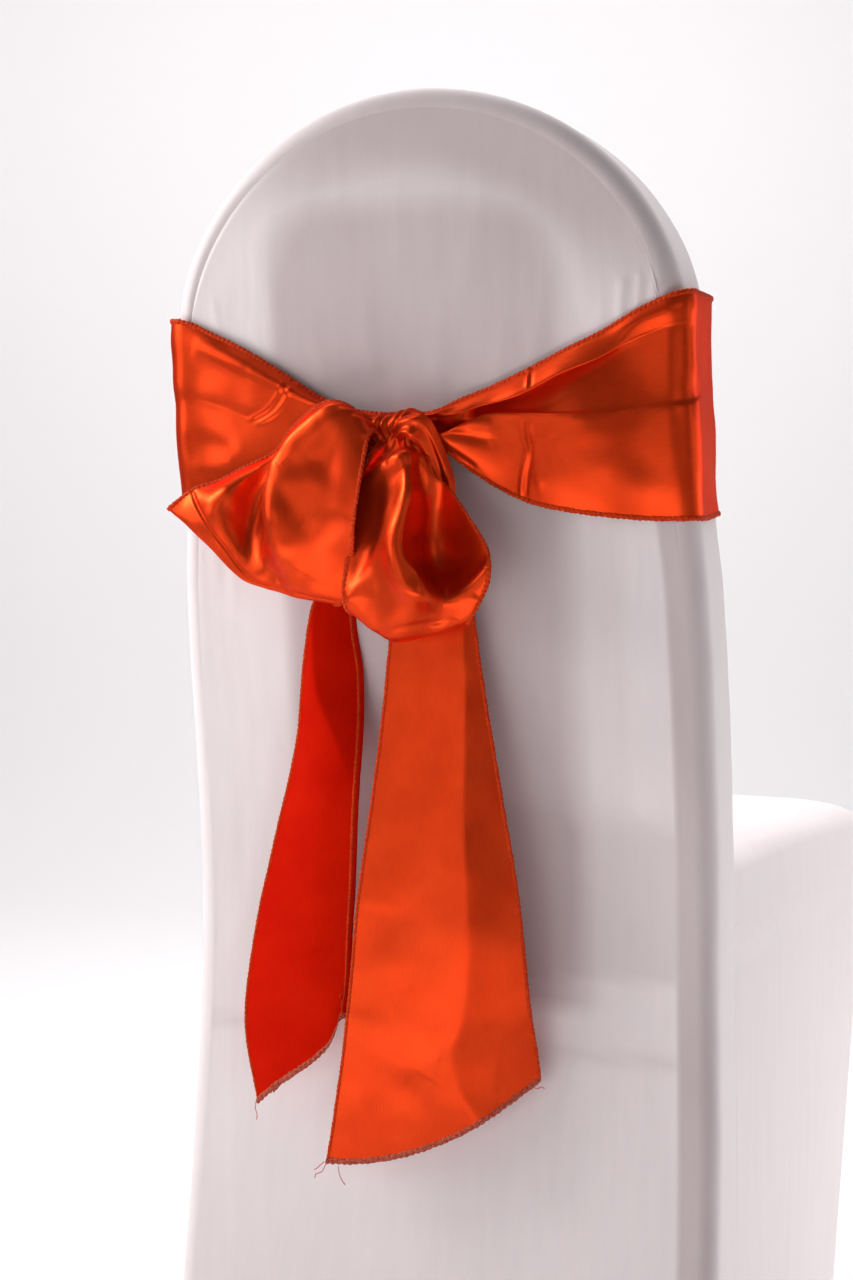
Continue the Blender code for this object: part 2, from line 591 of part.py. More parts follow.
# ---------------------------------------------------------------- build
def build_cover(material):
    """All seven panels of the cover."""
    inset = SEAM_INSET + SEAM_GAP
    rear = back_panel(hem, inset, 0.0, -CROWN, 0.48)
    inner = back_panel(INNER_FOOT_Z, inset, BACK_DEPTH, CROWN, INNER_FOOT_Z + 0.02)
    side_share = np.concatenate([np.linspace(0.0, 1.0, SEAT_SIDE_STEPS),
                                 np.linspace(1.0, 1.5, CORNER_STEPS + 1)[1:]])
    front_share = np.concatenate([np.linspace(1.5, 2.0, CORNER_STEPS + 1),
                                  np.linspace(2.0, 3.0, 6)[1:]])
    side_hem = np.clip(side_share, 0.0, 1.0)
    front_hem = np.clip(front_share - 2.0, 0.0, 1.0) / 2.0
    side = skirt_grid(side_share - np.where(side_share >= 1.5, 0.012, 0.0), side_hem)
    front = skirt_grid(front_share + np.where(front_share <= 1.5, 0.012, 0.0), front_hem)
    front = np.concatenate([front, mirrored(front)[1:]])
    sheets = {
        "back_outer": grid_sheet(rear),
        "gusset": grid_sheet(gusset_grid()),
        "back_inner": grid_sheet(inner[::-1]),
        "skirt_right": grid_sheet(side[:, :]),
        "skirt_left": grid_sheet(mirrored(side)),
        "skirt_front": grid_sheet(front),
        "seat_top": seat_points(),
    }
    for name, (points, faces) in sheets.items():
        add_object(name, *shell(points, faces, COVER_CLOTH), material)


build_cover(cloth_material("white_stretch_cloth", (0.80, 0.78, 0.80), 0.75))
build_sash(cloth_material("orange_red_satin", (0.78, 0.09, 0.02), 0.35))
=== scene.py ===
"""Cloth of a stretch chair cover and of the satin sash tied round its back.

Lengths are metres, or mm where a table says so, and heights are above the floor. The frame's
origin lies just under the top of the arch, so each finished piece is set down by HELD.
Every piece is a surface over a grid of points that is worked out with whole arrays.
"""
import bpy
import numpy as np
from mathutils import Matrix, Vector


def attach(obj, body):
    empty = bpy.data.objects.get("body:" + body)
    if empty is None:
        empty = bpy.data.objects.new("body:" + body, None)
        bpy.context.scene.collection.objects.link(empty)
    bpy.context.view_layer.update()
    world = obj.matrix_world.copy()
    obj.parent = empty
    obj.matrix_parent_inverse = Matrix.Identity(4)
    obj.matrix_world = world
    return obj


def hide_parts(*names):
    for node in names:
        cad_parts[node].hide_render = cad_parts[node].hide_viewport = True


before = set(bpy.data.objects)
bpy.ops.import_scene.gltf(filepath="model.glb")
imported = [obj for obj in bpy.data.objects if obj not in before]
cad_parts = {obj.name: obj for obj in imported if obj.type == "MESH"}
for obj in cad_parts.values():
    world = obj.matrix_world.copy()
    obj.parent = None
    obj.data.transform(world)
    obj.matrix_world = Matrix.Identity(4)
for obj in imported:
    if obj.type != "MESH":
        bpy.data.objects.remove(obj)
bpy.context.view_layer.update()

MM = 0.001

# ---- sizes of the back, as in the frame ----
TOP_Z = 1.000
ARCH_HALF_WIDTH = 0.1940
ARCH_HEIGHT = 0.185
SPRING_Z = TOP_Z - ARCH_HEIGHT
BACK_DEPTH = 0.063
EDGE_ROUND = 0.013          # the cloth turns a little tighter than the solid does
SEAM_INSET = 0.0145
CROWN = 0.003
SQUEEZE = 0.017
SQUEEZE_FOOT = (0.66, 0.73)
SQUEEZE_HEAD = (0.83, 0.90)
CLOTH = 0.0015
LEAN = ((0.00, -0.0238), (0.22, 0.0147), (0.43, 0.0255), (0.66, 0.0), (0.82, -0.0220),
        (1.00, -0.0365))
HALF_WIDTH = ((0.00, 0.2058), (0.20, 0.2049), (0.40, 0.1997), (0.55, 0.1993), (0.62, 0.1985),
              (0.70, 0.1957), (0.76, 0.1942), (0.815, 0.1940))

# ---- sizes of the seat and skirts ----
SEAT_CROWN_Z = 0.478
SEAT_REAR_Z = 0.447
INNER_FOOT_Z = 0.440
SEAT_EDGE_POWER = 5.0
FRONT_Y = 0.457
FRONT_HALF_WIDTH = 0.221
FOOT_INSET = 0.023
CORNER_ROUND = 0.020
HEM_Z = 0.006
HEM_RISE = 0.030
TUCK_TOP_Z = 0.415
TUCK_FOOT_Z = 0.395
TUCK_TURN = np.radians(30.0)
SEAT_SEAM = ((0.00, 0.412), (0.25, 0.421), (0.60, 0.4255), (1.00, 0.4195))

# ---- look of the cloth ----
COVER_THICK = 0.0008
SATIN_THICK = 0.0004
SEAM_DIP = 0.0011          # the seam sinks this far between the panels
SEAM_DIP_WIDTH = 0.0017
PUCKER = 0.00022           # gathers that run off the seams
PUCKER_REACH = 0.010
STROKE_STEPS = 4           # straight steps between two places of a drawn crease
STROKE_END = 0.25          # share of a crease's height that is left at its ends
STROKE_FADE = 0.12         # share of its length over which it fades

# ---- the chair back behind the cloth, as it greys the rear panel, and the painted shade at its right edge ----
PAD_HALF_WIDTH = 0.066      # straight part of the padding, before its corners
PAD_SHOULDER_Z = 0.892
PAD_CORNER = 0.046
PAD_FOOT_Z = 0.368
RAIL_Z = 0.391              # top of the lower rail
RAIL_HALF_WIDTH = 0.142
CROSSBAR_Z = 0.337
# darkness of the painted shade along the right rear edge
EDGE_PAINTED_SHADE = 0.78
THREAD_RADIUS = 0.00030


# ---------------------------------------------------------------- curves and fields
def hermite(values, at):
    """Smooth curve through values at whole numbers: cubics whose slopes are the neighbours'."""
    values = np.asarray(values, dtype=float)
    slope = np.gradient(values, axis=0)
    at = np.clip(at, 0, len(values) - 1)
    low = np.clip(np.floor(at).astype(int), 0, len(values) - 2)
    u = (at - low).reshape((-1,) + (1,) * (values.ndim - 1))
    return ((2 * u**3 - 3 * u**2 + 1) * values[low] + (u**3 - 2 * u**2 + u) * slope[low]
            + (3 * u**2 - 2 * u**3) * values[low + 1] + (u**3 - u**2) * slope[low + 1])


def spline(at, rows, column=1):
    """Smooth curve through a table of places and values that are not evenly spaced."""
    place = np.array([row[0] for row in rows], dtype=float)
    value = np.array([row[column] for row in rows], dtype=float)
    slope = np.gradient(value, place)
    at = np.clip(np.asarray(at, dtype=float), place[0], place[-1])
    low = np.clip(np.searchsorted(place, at) - 1, 0, len(place) - 2)
    span = place[low + 1] - place[low]
    u = (at - place[low]) / span
    return ((2 * u**3 - 3 * u**2 + 1) * value[low] + (u**3 - 2 * u**2 + u) * span * slope[low]
            + (3 * u**2 - 2 * u**3) * value[low + 1] + (u**3 - u**2) * span * slope[low + 1])


def fine_grid(table, rows, columns):
    """Grid of rows by columns points read from a coarse table by smooth curves both ways."""
    table = np.asarray(table, dtype=float)
    grid = hermite(table, np.linspace(0, table.shape[0] - 1, rows))
    across = hermite(np.moveaxis(grid, 1, 0), np.linspace(0, table.shape[1] - 1, columns))
    return np.moveaxis(across, 0, 1)


def smooth(at, low, high):
    """Soft step from 0 at low to 1 at high."""
    u = np.clip((np.asarray(at, dtype=float) - low) / (high - low), 0.0, 1.0)
    return u * u * (3.0 - 2.0 * u)


def wander(points, seed, longest, shortest, waves=18):
    """Even unevenness from -1 to 1: a sum of sine waves of random lengths and directions."""
    rng = np.random.default_rng(seed)
    points = np.atleast_2d(points)
    size = points.shape[-1]
    way = rng.normal(size=(waves, size))
    way /= np.linalg.norm(way, axis=1)[:, None]
    length = np.exp(rng.uniform(np.log(shortest), np.log(longest), waves))
    strength = length / length.max()
    start = rng.uniform(0.0, 2 * np.pi, waves)
    total = np.zeros(points.shape[:-1])
    for k in range(waves):
        total += strength[k] * np.sin(2 * np.pi / length[k] * (points @ way[k]) + start[k])
    return total / np.sqrt((strength**2).sum() * 2.0)


def creases(along, across, table):
    """Soft ridges and troughs along short lines: a bell across each line, faded at its ends.

    Rows hold the line's two ends, then height and width, all in the units of the two fields.
    """
    total = np.zeros(np.broadcast(along, across).shape)
    for a0, c0, a1, c1, height, width in table:
        da, dc = a1 - a0, c1 - c0
        span = max(da * da + dc * dc, 1e-12)
        at = ((along - a0) * da + (across - c0) * dc) / span
        off = np.hypot(along - a0 - np.clip(at, 0, 1) * da, across - c0 - np.clip(at, 0, 1) * dc)
        fade = smooth(at, -0.15, 0.2) * (1.0 - smooth(at, 0.8, 1.15))
        total += height * fade * np.exp(-((off / width) ** 2))
    return total


def strokes(across, height, table):
    """Ridges and troughs drawn one by one, mm: the largest bell of each stroke at every point.

    A row holds the height, the width left of the way it runs, the width right of it, and
    the few places that its smooth course runs through. The bell is height times e to the
    minus (distance / width) squared, and it fades over the last eighth of each end.
    """
    total = np.zeros(across.shape)
    for rise, left, right, places in table:
        legs = len(places) - 1
        places = hermite(places, np.linspace(0, legs, STROKE_STEPS * legs + 1))
        span = np.linalg.norm(np.diff(places, axis=0), axis=1)
        run = np.concatenate([[0.0], np.cumsum(span)]) / span.sum()
        bell = np.zeros(across.shape)
        for k in range(len(span)):
            way = (places[k + 1] - places[k]) / span[k]
            off_a, off_z = across - places[k, 0], height - places[k, 1]
            at = np.clip((off_a * way[0] + off_z * way[1]) / span[k], 0.0, 1.0)
            off_a = off_a - at * span[k] * way[0]
            off_z = off_z - at * span[k] * way[1]
            side = way[0] * off_z - way[1] * off_a
            width = np.where(side > 0.0, left, right)
            share = run[k] + at * (run[k + 1] - run[k])
            fade = STROKE_END + (1.0 - STROKE_END) * smooth(np.minimum(share, 1.0 - share),
                                                            0.0, STROKE_FADE)
            bell = np.maximum(bell, fade * np.exp(-(off_a**2 + off_z**2) / width**2))
        total = total + rise * bell
    return total


def beside(places, across, height):
    """The same course moved over, for the ridge or trough that runs along another."""
    return tuple((place[0] + across, place[1] + height) for place in places)


def normals(grid):
    """Unit normals of a grid: the cross product of its two directions."""
    across = np.cross(np.gradient(grid, axis=0), np.gradient(grid, axis=1))
    return across / np.maximum(np.linalg.norm(across, axis=-1, keepdims=True), 1e-12)


def lean(height):
    """How far forward the rear of the back lies at a height."""
    return spline(height, LEAN)


def squeeze(height):
    """Share of its width that the padding keeps under the tight sash."""
    return 1.0 - SQUEEZE * smooth(height, *SQUEEZE_FOOT) * (1.0 - smooth(height, *SQUEEZE_HEAD))


def half_width(height):
    """Half width of the back below the arch, with the squeeze."""
    return spline(height, HALF_WIDTH) * squeeze(height)


def hem(share):
    """Height of the hem at a share of the way from one corner to the next."""
    return HEM_Z + HEM_RISE * 4.0 * share * (1.0 - share)


HELD = np.array([0.0, lean(TOP_Z) + BACK_DEPTH / 2, TOP_Z - CLOTH])


# ---------------------------------------------------------------- meshes
def add_mesh(name, points, faces, material, flat=None, shade=None):
    """Smooth mesh object at the origin, with its flat cloth as UV and its greying, show-through and
    painted shade, as an attribute.
    """
    mesh = bpy.data.meshes.new(name)
    mesh.from_pydata((points - HELD).tolist(), [], faces.tolist())
    mesh.polygons.foreach_set("use_smooth", np.ones(len(faces), dtype=bool))
    if flat is not None:
        layer = mesh.uv_layers.new(name="flat")
        layer.data.foreach_set("uv", flat[faces.ravel()].ravel().astype(np.float32))
    if shade is not None:
        mark = mesh.attributes.new("show_through_and_shade", "FLOAT", "POINT")
        mark.data.foreach_set("value", shade.ravel().astype(np.float32))
    mesh.update()
    edge_of_loop = np.zeros(len(mesh.loops), dtype=np.int32)
    mesh.loops.foreach_get("edge_index", edge_of_loop)
    rim = np.bincount(edge_of_loop, minlength=len(mesh.edges)) == 1
    mesh.edges.foreach_set("use_edge_sharp", rim)
    mesh.materials.append(material)
    thing = bpy.data.objects.new(name, mesh)
    bpy.context.scene.collection.objects.link(thing)
    return thing


def grid_faces(rows, columns, wrap=False):
    """Four-sided faces over a grid, joined end to end along its rows where it wraps."""
    index = np.arange(rows * columns).reshape(rows, columns)
    here = index if wrap else index[:-1]
    after = np.roll(index, -1, axis=0) if wrap else index[1:]
    return np.stack([here[:, :-1], after[:, :-1], after[:, 1:], here[:, 1:]],
                    axis=-1).reshape(-1, 4)


def add_sheet(name, grid, material, thick, wrap=False, shade=None):
    """Thin cloth over a grid, its outer face where the grid is and its thickness inside."""
    step = np.linalg.norm(np.diff(grid, axis=0, append=grid[-1:]), axis=-1).mean(axis=1)
    rise = np.linalg.norm(np.diff(grid, axis=1, append=grid[:, -1:]), axis=-1).mean(axis=0)
    along = np.concatenate([[0.0], np.cumsum(step)[:-1]])[:, None]
    across = np.concatenate([[0.0], np.cumsum(rise)[:-1]])[None, :]
    flat = np.stack(np.broadcast_arrays(along, across), axis=-1).reshape(-1, 2)
    faces = grid_faces(*grid.shape[:2], wrap=wrap)
    thing = add_mesh(name, grid.reshape(-1, 3), faces, material, flat, shade)
    solid = thing.modifiers.new("thickness", "SOLIDIFY")
    solid.thickness = thick
    solid.offset = -1.0
    return thing


def ride_and_name(thing, slot, *nodes):
    """The piece rides on the one body and stands for its CAD nodes; slot is not used."""
    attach(thing, "root")
    if nodes:
        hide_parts(*nodes)


# ---------------------------------------------------------------- the back of the cover
def seam_place(across, height):
    """Distance in from the outline of the back, and distance along the seam from the floor."""
    rise = np.clip(height - SPRING_Z, 0.0, None)
    ring = np.hypot(across / ARCH_HALF_WIDTH, rise / ARCH_HEIGHT)
    turn = np.arctan2(rise * ARCH_HALF_WIDTH, np.abs(across) * ARCH_HEIGHT + 1e-9)
    inset = np.where(height > SPRING_Z, (1.0 - ring) * ARCH_HALF_WIDTH,
                     half_width(height) - np.abs(across))
    along = np.where(height > SPRING_Z, SPRING_Z + turn * ARCH_HALF_WIDTH, height)
    return inset, np.where(across < 0.0, -along, along)


# Distance along the rear seam from the floor, less than nought on the left, and how much of
# the dip shows there: tight on the upper left, pressed flat elsewhere
SEAM_SHOWS = ((-1.20, 0.04), (-1.09, 0.10), (-1.00, 0.90), (-0.94, 1.20), (-0.80, 1.20),
              (-0.72, 0.50), (-0.60, 0.08), (0.00, 0.03), (1.20, 0.03))


def seam_relief(distance, along, seed, shows=1.0):
    """Dip at the seam and the small gathers that run off it, as a height.

    The dip is a bell of the distance. The gathers wander along the seam, and die out as e to
    the minus distance over PUCKER_REACH.
    """
    gather = wander(along[..., None], seed, 0.013, 0.0045)
    return (-SEAM_DIP * shows * np.exp(-((distance / SEAM_DIP_WIDTH) ** 2))
            + PUCKER * gather * np.exp(-distance / PUCKER_REACH) * smooth(distance, 0.0, 0.003))


def slack(points, seed, height, longest, shortest, from_seam, reach=0.03):
    """Soft unevenness of a stretched panel, none at its seam and full at reach from it."""
    return height * wander(points, seed, longest, shortest) * smooth(from_seam, 0.0, reach)


def arch_panel(foot, rows_low, rows_high, columns):
    """Across and height over a panel of the back inside its seam, from foot to arch.

    Columns lie from seam to seam, half evenly and half by the sine of an even angle. Each
    climbs straight up at its share of the half width, and over the spring it keeps that share
    of the arch's width and rises to the height of the arch's ellipse there.
    """
    angle = np.linspace(-np.pi / 2, np.pi / 2, columns)[:, None]
    share = np.sin(angle) * 0.5 + np.linspace(-1.0, 1.0, columns)[:, None] * 0.5
    start = foot(0.5 + 0.5 * share) if callable(foot) else foot + 0.0 * share
    low = np.linspace(0.0, 1.0, rows_low)[None, :]
    height_low = start + (SPRING_Z - start) * low
    across_low = share * (half_width(height_low) - SEAM_INSET)
    high = np.linspace(0.0, 1.0, rows_high + 1)[None, 1:]
    rise = high * (ARCH_HEIGHT - SEAM_INSET) * np.sqrt(np.clip(1.0 - share**2, 0.0, 1.0))
    across_high = share * (ARCH_HALF_WIDTH - SEAM_INSET) * squeeze(SPRING_Z + rise)
    return np.hstack([across_low, across_high]), np.hstack([height_low, SPRING_Z + rise])


def swell(across, height, foot):
    """Crown of the padding behind a panel: full in the middle, none at the seam.

    With the ring as the share of the way out to the seam, it is one less the ring's cube, all
    squared, and it comes in softly over the foot of the panel.
    """
    ring = np.hypot(across / (ARCH_HALF_WIDTH - SEAM_INSET),
                    np.clip(height - SPRING_Z, 0.0, None) / (ARCH_HEIGHT - SEAM_INSET))
    return CROWN * smooth(height, foot, foot + 0.15) * (1.0 - np.clip(ring, 0, 1) ** 3) ** 2


# Small creases of the rear panel: over the right end of the sash, at the shoulders, above and
# below the sash and along the lower rail. Across and height of the two ends of each, then its
# height and width, mm
REAR_CREASES = (
    (146, 838, 149, 866, 0.9, 3.2), (158, 845, 161, 868, 0.7, 2.6), (168, 850, 173, 872, 0.6, 2.6),
    (131, 833, 133, 850, 0.4, 2.6), (-120, 828, -124, 850, 0.4, 3.0),
    (-150, 842, -156, 866, 0.5, 3.0), (60, 800, 66, 850, 0.35, 5.0), (88, 812, 96, 880, 0.4, 6.0),
    (20, 800, 16, 860, 0.35, 5.0), (-30, 795, -38, 858, 0.35, 6.0), (-70, 800, -78, 845, 0.3, 4.0),
    (40, 860, 52, 930, 0.25, 7.0), (-10, 880, -14, 950, 0.25, 8.0), (120, 700, 124, 640, 0.5, 5.0),
    (150, 705, 152, 655, 0.5, 4.0), (90, 712, 86, 650, 0.4, 5.0), (-150, 700, -153, 640, 0.5, 5.0),
    (-165, 700, -168, 660, 0.4, 4.0), (100, 560, 112, 470, 0.3, 8.0), (60, 380, 140, 365, 0.35, 7.0),
    (90, 345, 178, 336, 0.3, 8.0), (-60, 372, -150, 366, 0.3, 7.0),
)


def rear_show_through_and_painted_shade(across, height):
    """How much the rear panel greys, from 0 to 1: the dark chair back showing through, and painted
    shade.

    The padding is dark up to PAD_CORNER past its straight sides and then fades. Rail, crown,
    top and edge are soft steps across and in height, and the darkest of them counts; crown, top
    and edge are painted shade, darker towards the top of the arch, more so on the right, and
    along the right rear edge. The foot of the rail and the crossbar, a bell of the height, are
    added to that.
    """
    side = np.abs(across)
    out = np.hypot(np.clip(side - PAD_HALF_WIDTH, 0, None),
                   np.clip(height - PAD_SHOULDER_Z, 0, None))
    blur = 0.010 + 0.022 * smooth(height, 0.86, 0.93) + 0.014 * smooth(across, 0.0, 0.10)
    pad = 1.0 - smooth(out, PAD_CORNER - blur, PAD_CORNER + 0.6 * blur)
    low = smooth(height, PAD_FOOT_Z - 0.008, PAD_FOOT_Z + 0.008)
    above_rail = smooth(height, RAIL_Z - 0.005, RAIL_Z + 0.005)
    frame_edge = RAIL_HALF_WIDTH + 0.040 * (1.0 - smooth(height, 0.484, 0.512))
    rail = 1.0 - smooth(side, frame_edge - 0.006, frame_edge + 0.006)
    rail = rail * above_rail * (1.0 - smooth(height, 0.70, 0.80))
    bar = 0.25 * np.exp(-(((height - CROSSBAR_Z) / 0.006) ** 2)) * smooth(side, 0.05, 0.08)
    grey = np.maximum(pad * low, 0.14 * rail * smooth(across, -0.12, -0.02))
    foot = above_rail * (1.0 - smooth(height, 0.486, 0.52))
    grey = grey + 0.30 * foot * (1.0 - smooth(across, 0.172, 0.180)) * smooth(across, -0.10, 0.0)
    ring = np.hypot(across / ARCH_HALF_WIDTH, np.clip(height - SPRING_Z, 0, None) / ARCH_HEIGHT)
    # painted shade, not show-through: the top of the arch darker, more so on the right, and a band
    # across its crown
    painted_top_shade = smooth(ring, 0.50, 0.80) * smooth(height + 0.30 * across, 0.860, 0.960)
    painted_crown_shade = 0.62 * (1.0 - smooth(ring, 0.60, 0.90)) * smooth(height, 0.90, 0.94)
    grey = np.maximum(grey, np.maximum(1.05 * painted_top_shade, painted_crown_shade))
    inset = half_width(height) - across
    # painted shade along the right rear edge, where the rounded corner turns away from the light
    painted_edge_shade = (1.0 - smooth(inset, 0.0245, 0.0290)) * (1.0 - smooth(height, 0.80, 0.90))
    return np.clip(np.maximum(grey * 0.85 + bar, EDGE_PAINTED_SHADE * painted_edge_shade), 0.0, 1.0)


def strip_painted_shade(grid, from_rear):
    """Painted shade on the edge strip: along its rear right-hand corner and over the top right of the
    arch.
    """
    across, height = grid[..., 0], grid[..., 2]
    painted_edge_shade = (1.0 - smooth(from_rear, 0.002, 0.026)) * smooth(across, 0.10, 0.15)
    painted_top_shade = smooth(height + 0.30 * across, 0.900, 0.990) * (1.0 - smooth(from_rear, 0.002, 0.030))
    return np.maximum(EDGE_PAINTED_SHADE * painted_edge_shade, 0.75 * painted_top_shade)


def rear_panel(material):
    """Rear panel: leans with the back, crowned by the padding, its seam sunk all round."""
    across, height = arch_panel(hem, 110, 44, 110)
    distance, along = seam_place(across, height)
    distance = np.clip(distance - SEAM_INSET, 0.0, None)
    out = swell(across, height, 0.48) + seam_relief(distance, along, 3, spline(along, SEAM_SHOWS))
    spots = np.stack([across, height], axis=-1)
    out = out + slack(spots, 5, 0.0005, 0.16, 0.05, distance)
    out = out + slack(spots * [1.0, 0.12], 6, 0.0001, 0.012, 0.004, distance, 0.02)
    out = out + MM * creases(across / MM, height / MM, REAR_CREASES)
    grid = np.stack([across, lean(height) - out, height], axis=-1)
    # its greying holds the chair back showing through and painted shade at the top and right edge
    return add_sheet("cover_back_outer", grid, material, COVER_THICK,
                     shade=rear_show_through_and_painted_shade(across, height))


def inner_panel(material):
    """Sitter's side of the back, from behind the seat up to the arch."""
    across, height = arch_panel(INNER_FOOT_Z, 50, 36, 84)
    distance, along = seam_place(across, height)
    distance = np.clip(distance - SEAM_INSET, 0.0, None)
    out = swell(across, height, INNER_FOOT_Z + 0.02) + seam_relief(distance, along, 4)
    spots = np.stack([across, height], axis=-1)
    out = out + slack(spots, 8, 0.0005, 0.16, 0.05, distance)
    grid = np.stack([across, lean(height) + BACK_DEPTH + out, height], axis=-1)[::-1]
    return add_sheet("cover_back_inner", grid, material, COVER_THICK)


def gusset_section(height, steps):
    """Inset and depth across the strip: rear rounding, flat side, and the turn at the front.

    Each rounding is an arc of EDGE_ROUND, a quarter circle at the rear and as much as the tuck
    turns at the front, and a short straight run leads on from each arc to its seam.
    """
    turn = TUCK_TURN + (np.pi / 2 - TUCK_TURN) * smooth(height, TUCK_FOOT_Z, TUCK_TOP_Z)[:, None]
    flat = SEAM_INSET - EDGE_ROUND
    count = len(height)
    rear = np.linspace(0.0, np.pi / 2, steps)[None, :]
    start = np.linspace(SEAM_INSET, EDGE_ROUND, 5)[None, :-1] + np.zeros((count, 1))
    middle = np.linspace(EDGE_ROUND, BACK_DEPTH - EDGE_ROUND, 7)[None, 1:-1] + np.zeros((count, 1))
    front = np.linspace(0.0, 1.0, steps)[None, :] * turn
    tail = np.linspace(0.0, 1.0, 5)[None, 1:] * flat
    inset = np.hstack([start, EDGE_ROUND * (1.0 - np.sin(rear)) + np.zeros((count, 1)),
                       0.0 * middle, EDGE_ROUND * (1.0 - np.cos(front)),
                       EDGE_ROUND * (1.0 - np.cos(turn)) + tail * np.sin(turn)])
    depth = np.hstack([0.0 * start, EDGE_ROUND * (1.0 - np.cos(rear)) + np.zeros((count, 1)),
                       middle, BACK_DEPTH - EDGE_ROUND * (1.0 - np.sin(front)),
                       BACK_DEPTH - EDGE_ROUND * (1.0 - np.sin(turn)) + tail * np.cos(turn)])
    return inset, depth


def gusset(material):
    """Edge strip: its section carried up one leg, over the arch and down the other leg."""
    leg = np.concatenate([np.linspace(HEM_Z, TUCK_FOOT_Z, 64, endpoint=False),
                          np.linspace(TUCK_FOOT_Z, TUCK_TOP_Z, 8, endpoint=False),
                          np.linspace(TUCK_TOP_Z, SPRING_Z, 84)[:-1]])
    angle = np.linspace(-np.pi / 2, np.pi / 2, 160)
    inset, depth = gusset_section(leg, 9)
    across = spline(leg, HALF_WIDTH)[:, None] - inset
    height = leg[:, None] + 0.0 * inset
    left = np.stack([-across, depth, height], axis=-1)
    right = np.stack([across, depth, height], axis=-1)[::-1]
    inset, depth = gusset_section(np.full(len(angle), TOP_Z), 9)
    arch = np.stack([(ARCH_HALF_WIDTH - inset) * np.sin(angle)[:, None], depth,
                     SPRING_Z + (ARCH_HEIGHT - inset) * np.cos(angle)[:, None]], axis=-1)
    grid = np.concatenate([left, arch, right])
    grid[..., 0] *= squeeze(grid[..., 2])
    grid[..., 1] += lean(grid[..., 2])
    step = np.linalg.norm(np.diff(grid, axis=1, prepend=grid[:, :1]), axis=-1)
    from_rear = np.cumsum(step, axis=1)
    to_front = from_rear[:, -1:] - from_rear
    _, along = seam_place(grid[..., 0], grid[..., 2])
    out = seam_relief(from_rear, along, 3, spline(along, SEAM_SHOWS))
    front_seam = smooth(grid[..., 2], TUCK_FOOT_Z - 0.02, TUCK_TOP_Z)
    out = out + seam_relief(to_front, along, 4) * (0.35 + 0.65 * front_seam)
    out = out + slack(grid, 9, 0.0004, 0.12, 0.04, np.minimum(from_rear, to_front), 0.02)
    grid = grid - normals(grid) * out[..., None] * gusset_sign(grid)
    # the strip carries painted shade on its right rear corner and top right
    return add_sheet("cover_gusset", grid, material, COVER_THICK,
                     shade=strip_painted_shade(grid, from_rear))


def gusset_sign(grid):
    """Minus one where the grid's own normals point outward, so that relief stands proud."""
    normal = normals(grid)
    middle = grid.reshape(-1, 3).mean(axis=0)
    outward = ((grid - middle) * normal).sum(axis=-1).mean()
    return -1.0 if outward > 0 else 1.0


# ---------------------------------------------------------------- seat and skirts
def tuck_end(height):
    """Across and forward of the gusset's front edge at a height below the seat."""
    turn = TUCK_TURN + (np.pi / 2 - TUCK_TURN) * smooth(height, TUCK_FOOT_Z, TUCK_TOP_Z)
    flat = SEAM_INSET - EDGE_ROUND
    across = spline(height, HALF_WIDTH) - EDGE_ROUND * (1.0 - np.cos(turn)) - flat * np.sin(turn)
    depth = BACK_DEPTH - EDGE_ROUND * (1.0 - np.sin(turn)) + flat * np.cos(turn)
    return across, lean(height) + depth


def plan_half(height, share):
    """Right half of the plan: 0 to 1 up the side, 1 to 2 round the corner, 2 to 3 to the middle."""
    taper = FOOT_INSET * (1.0 - np.clip(height / SEAT_SEAM[-1][1], 0.0, 1.0))
    width = FRONT_HALF_WIDTH - taper
    front = FRONT_Y - taper
    rear_x, rear_y = tuck_end(height)
    side = np.clip(share, 0.0, 1.0)
    turn = np.clip(share - 1.0, 0.0, 1.0) * np.pi / 2
    run = np.clip(share - 2.0, 0.0, 1.0)
    centre_x, centre_y = width - CORNER_ROUND, front - CORNER_ROUND
    across = np.where(share <= 1.0, rear_x + (width - rear_x) * side,
                      np.where(share <= 2.0, centre_x + CORNER_ROUND * np.cos(turn),
                               centre_x * (1.0 - run)))
    forward = np.where(share <= 1.0, rear_y + (centre_y - rear_y) * side,
                       np.where(share <= 2.0, centre_y + CORNER_ROUND * np.sin(turn), front))
    return across, forward


def edge_height(share):
    """Height of the seat's edge seam over the same share as plan_half."""
    return spline(np.clip(share, 0.0, 1.0), SEAT_SEAM)


def skirt(name, share, hem_share, both, material, seed):
    """Skirt panel from hem to seat seam, its top and upright seams sunk and gathered.

    Every column is a straight climb from the hem to the seam at its share of the outline,
    and the outline draws in a little towards the foot.
    """
    share = share[:, None]
    top = edge_height(share)
    foot = hem(hem_share)[:, None]
    rise = np.linspace(0.0, 1.0, 64)[None, :]
    height = foot + (top - foot) * rise
    across, forward = plan_half(height, share + 0.0 * rise)
    grid = np.stack([across, forward, height], axis=-1)
    if both:
        grid = np.concatenate([grid, grid[::-1][1:] * np.array([-1.0, 1.0, 1.0])])
    run = np.cumsum(np.linalg.norm(np.diff(grid, axis=0, prepend=grid[:1]), axis=-1), axis=0)
    down = np.concatenate([top, top[::-1][1:]]) - grid[..., 2] if both else top - grid[..., 2]
    ends = np.minimum(run, run[-1:] - run)
    out = seam_relief(down, run, seed) + seam_relief(ends, grid[..., 2], seed + 1)
    out = out + slack(grid, seed + 2, 0.0006, 0.20, 0.06, np.minimum(down, ends))
    grid = grid + normals(grid) * out[..., None]
    if name.endswith("left"):
        grid = grid[::-1] * np.array([-1.0, 1.0, 1.0])
    return add_sheet(name, grid, material, COVER_THICK)


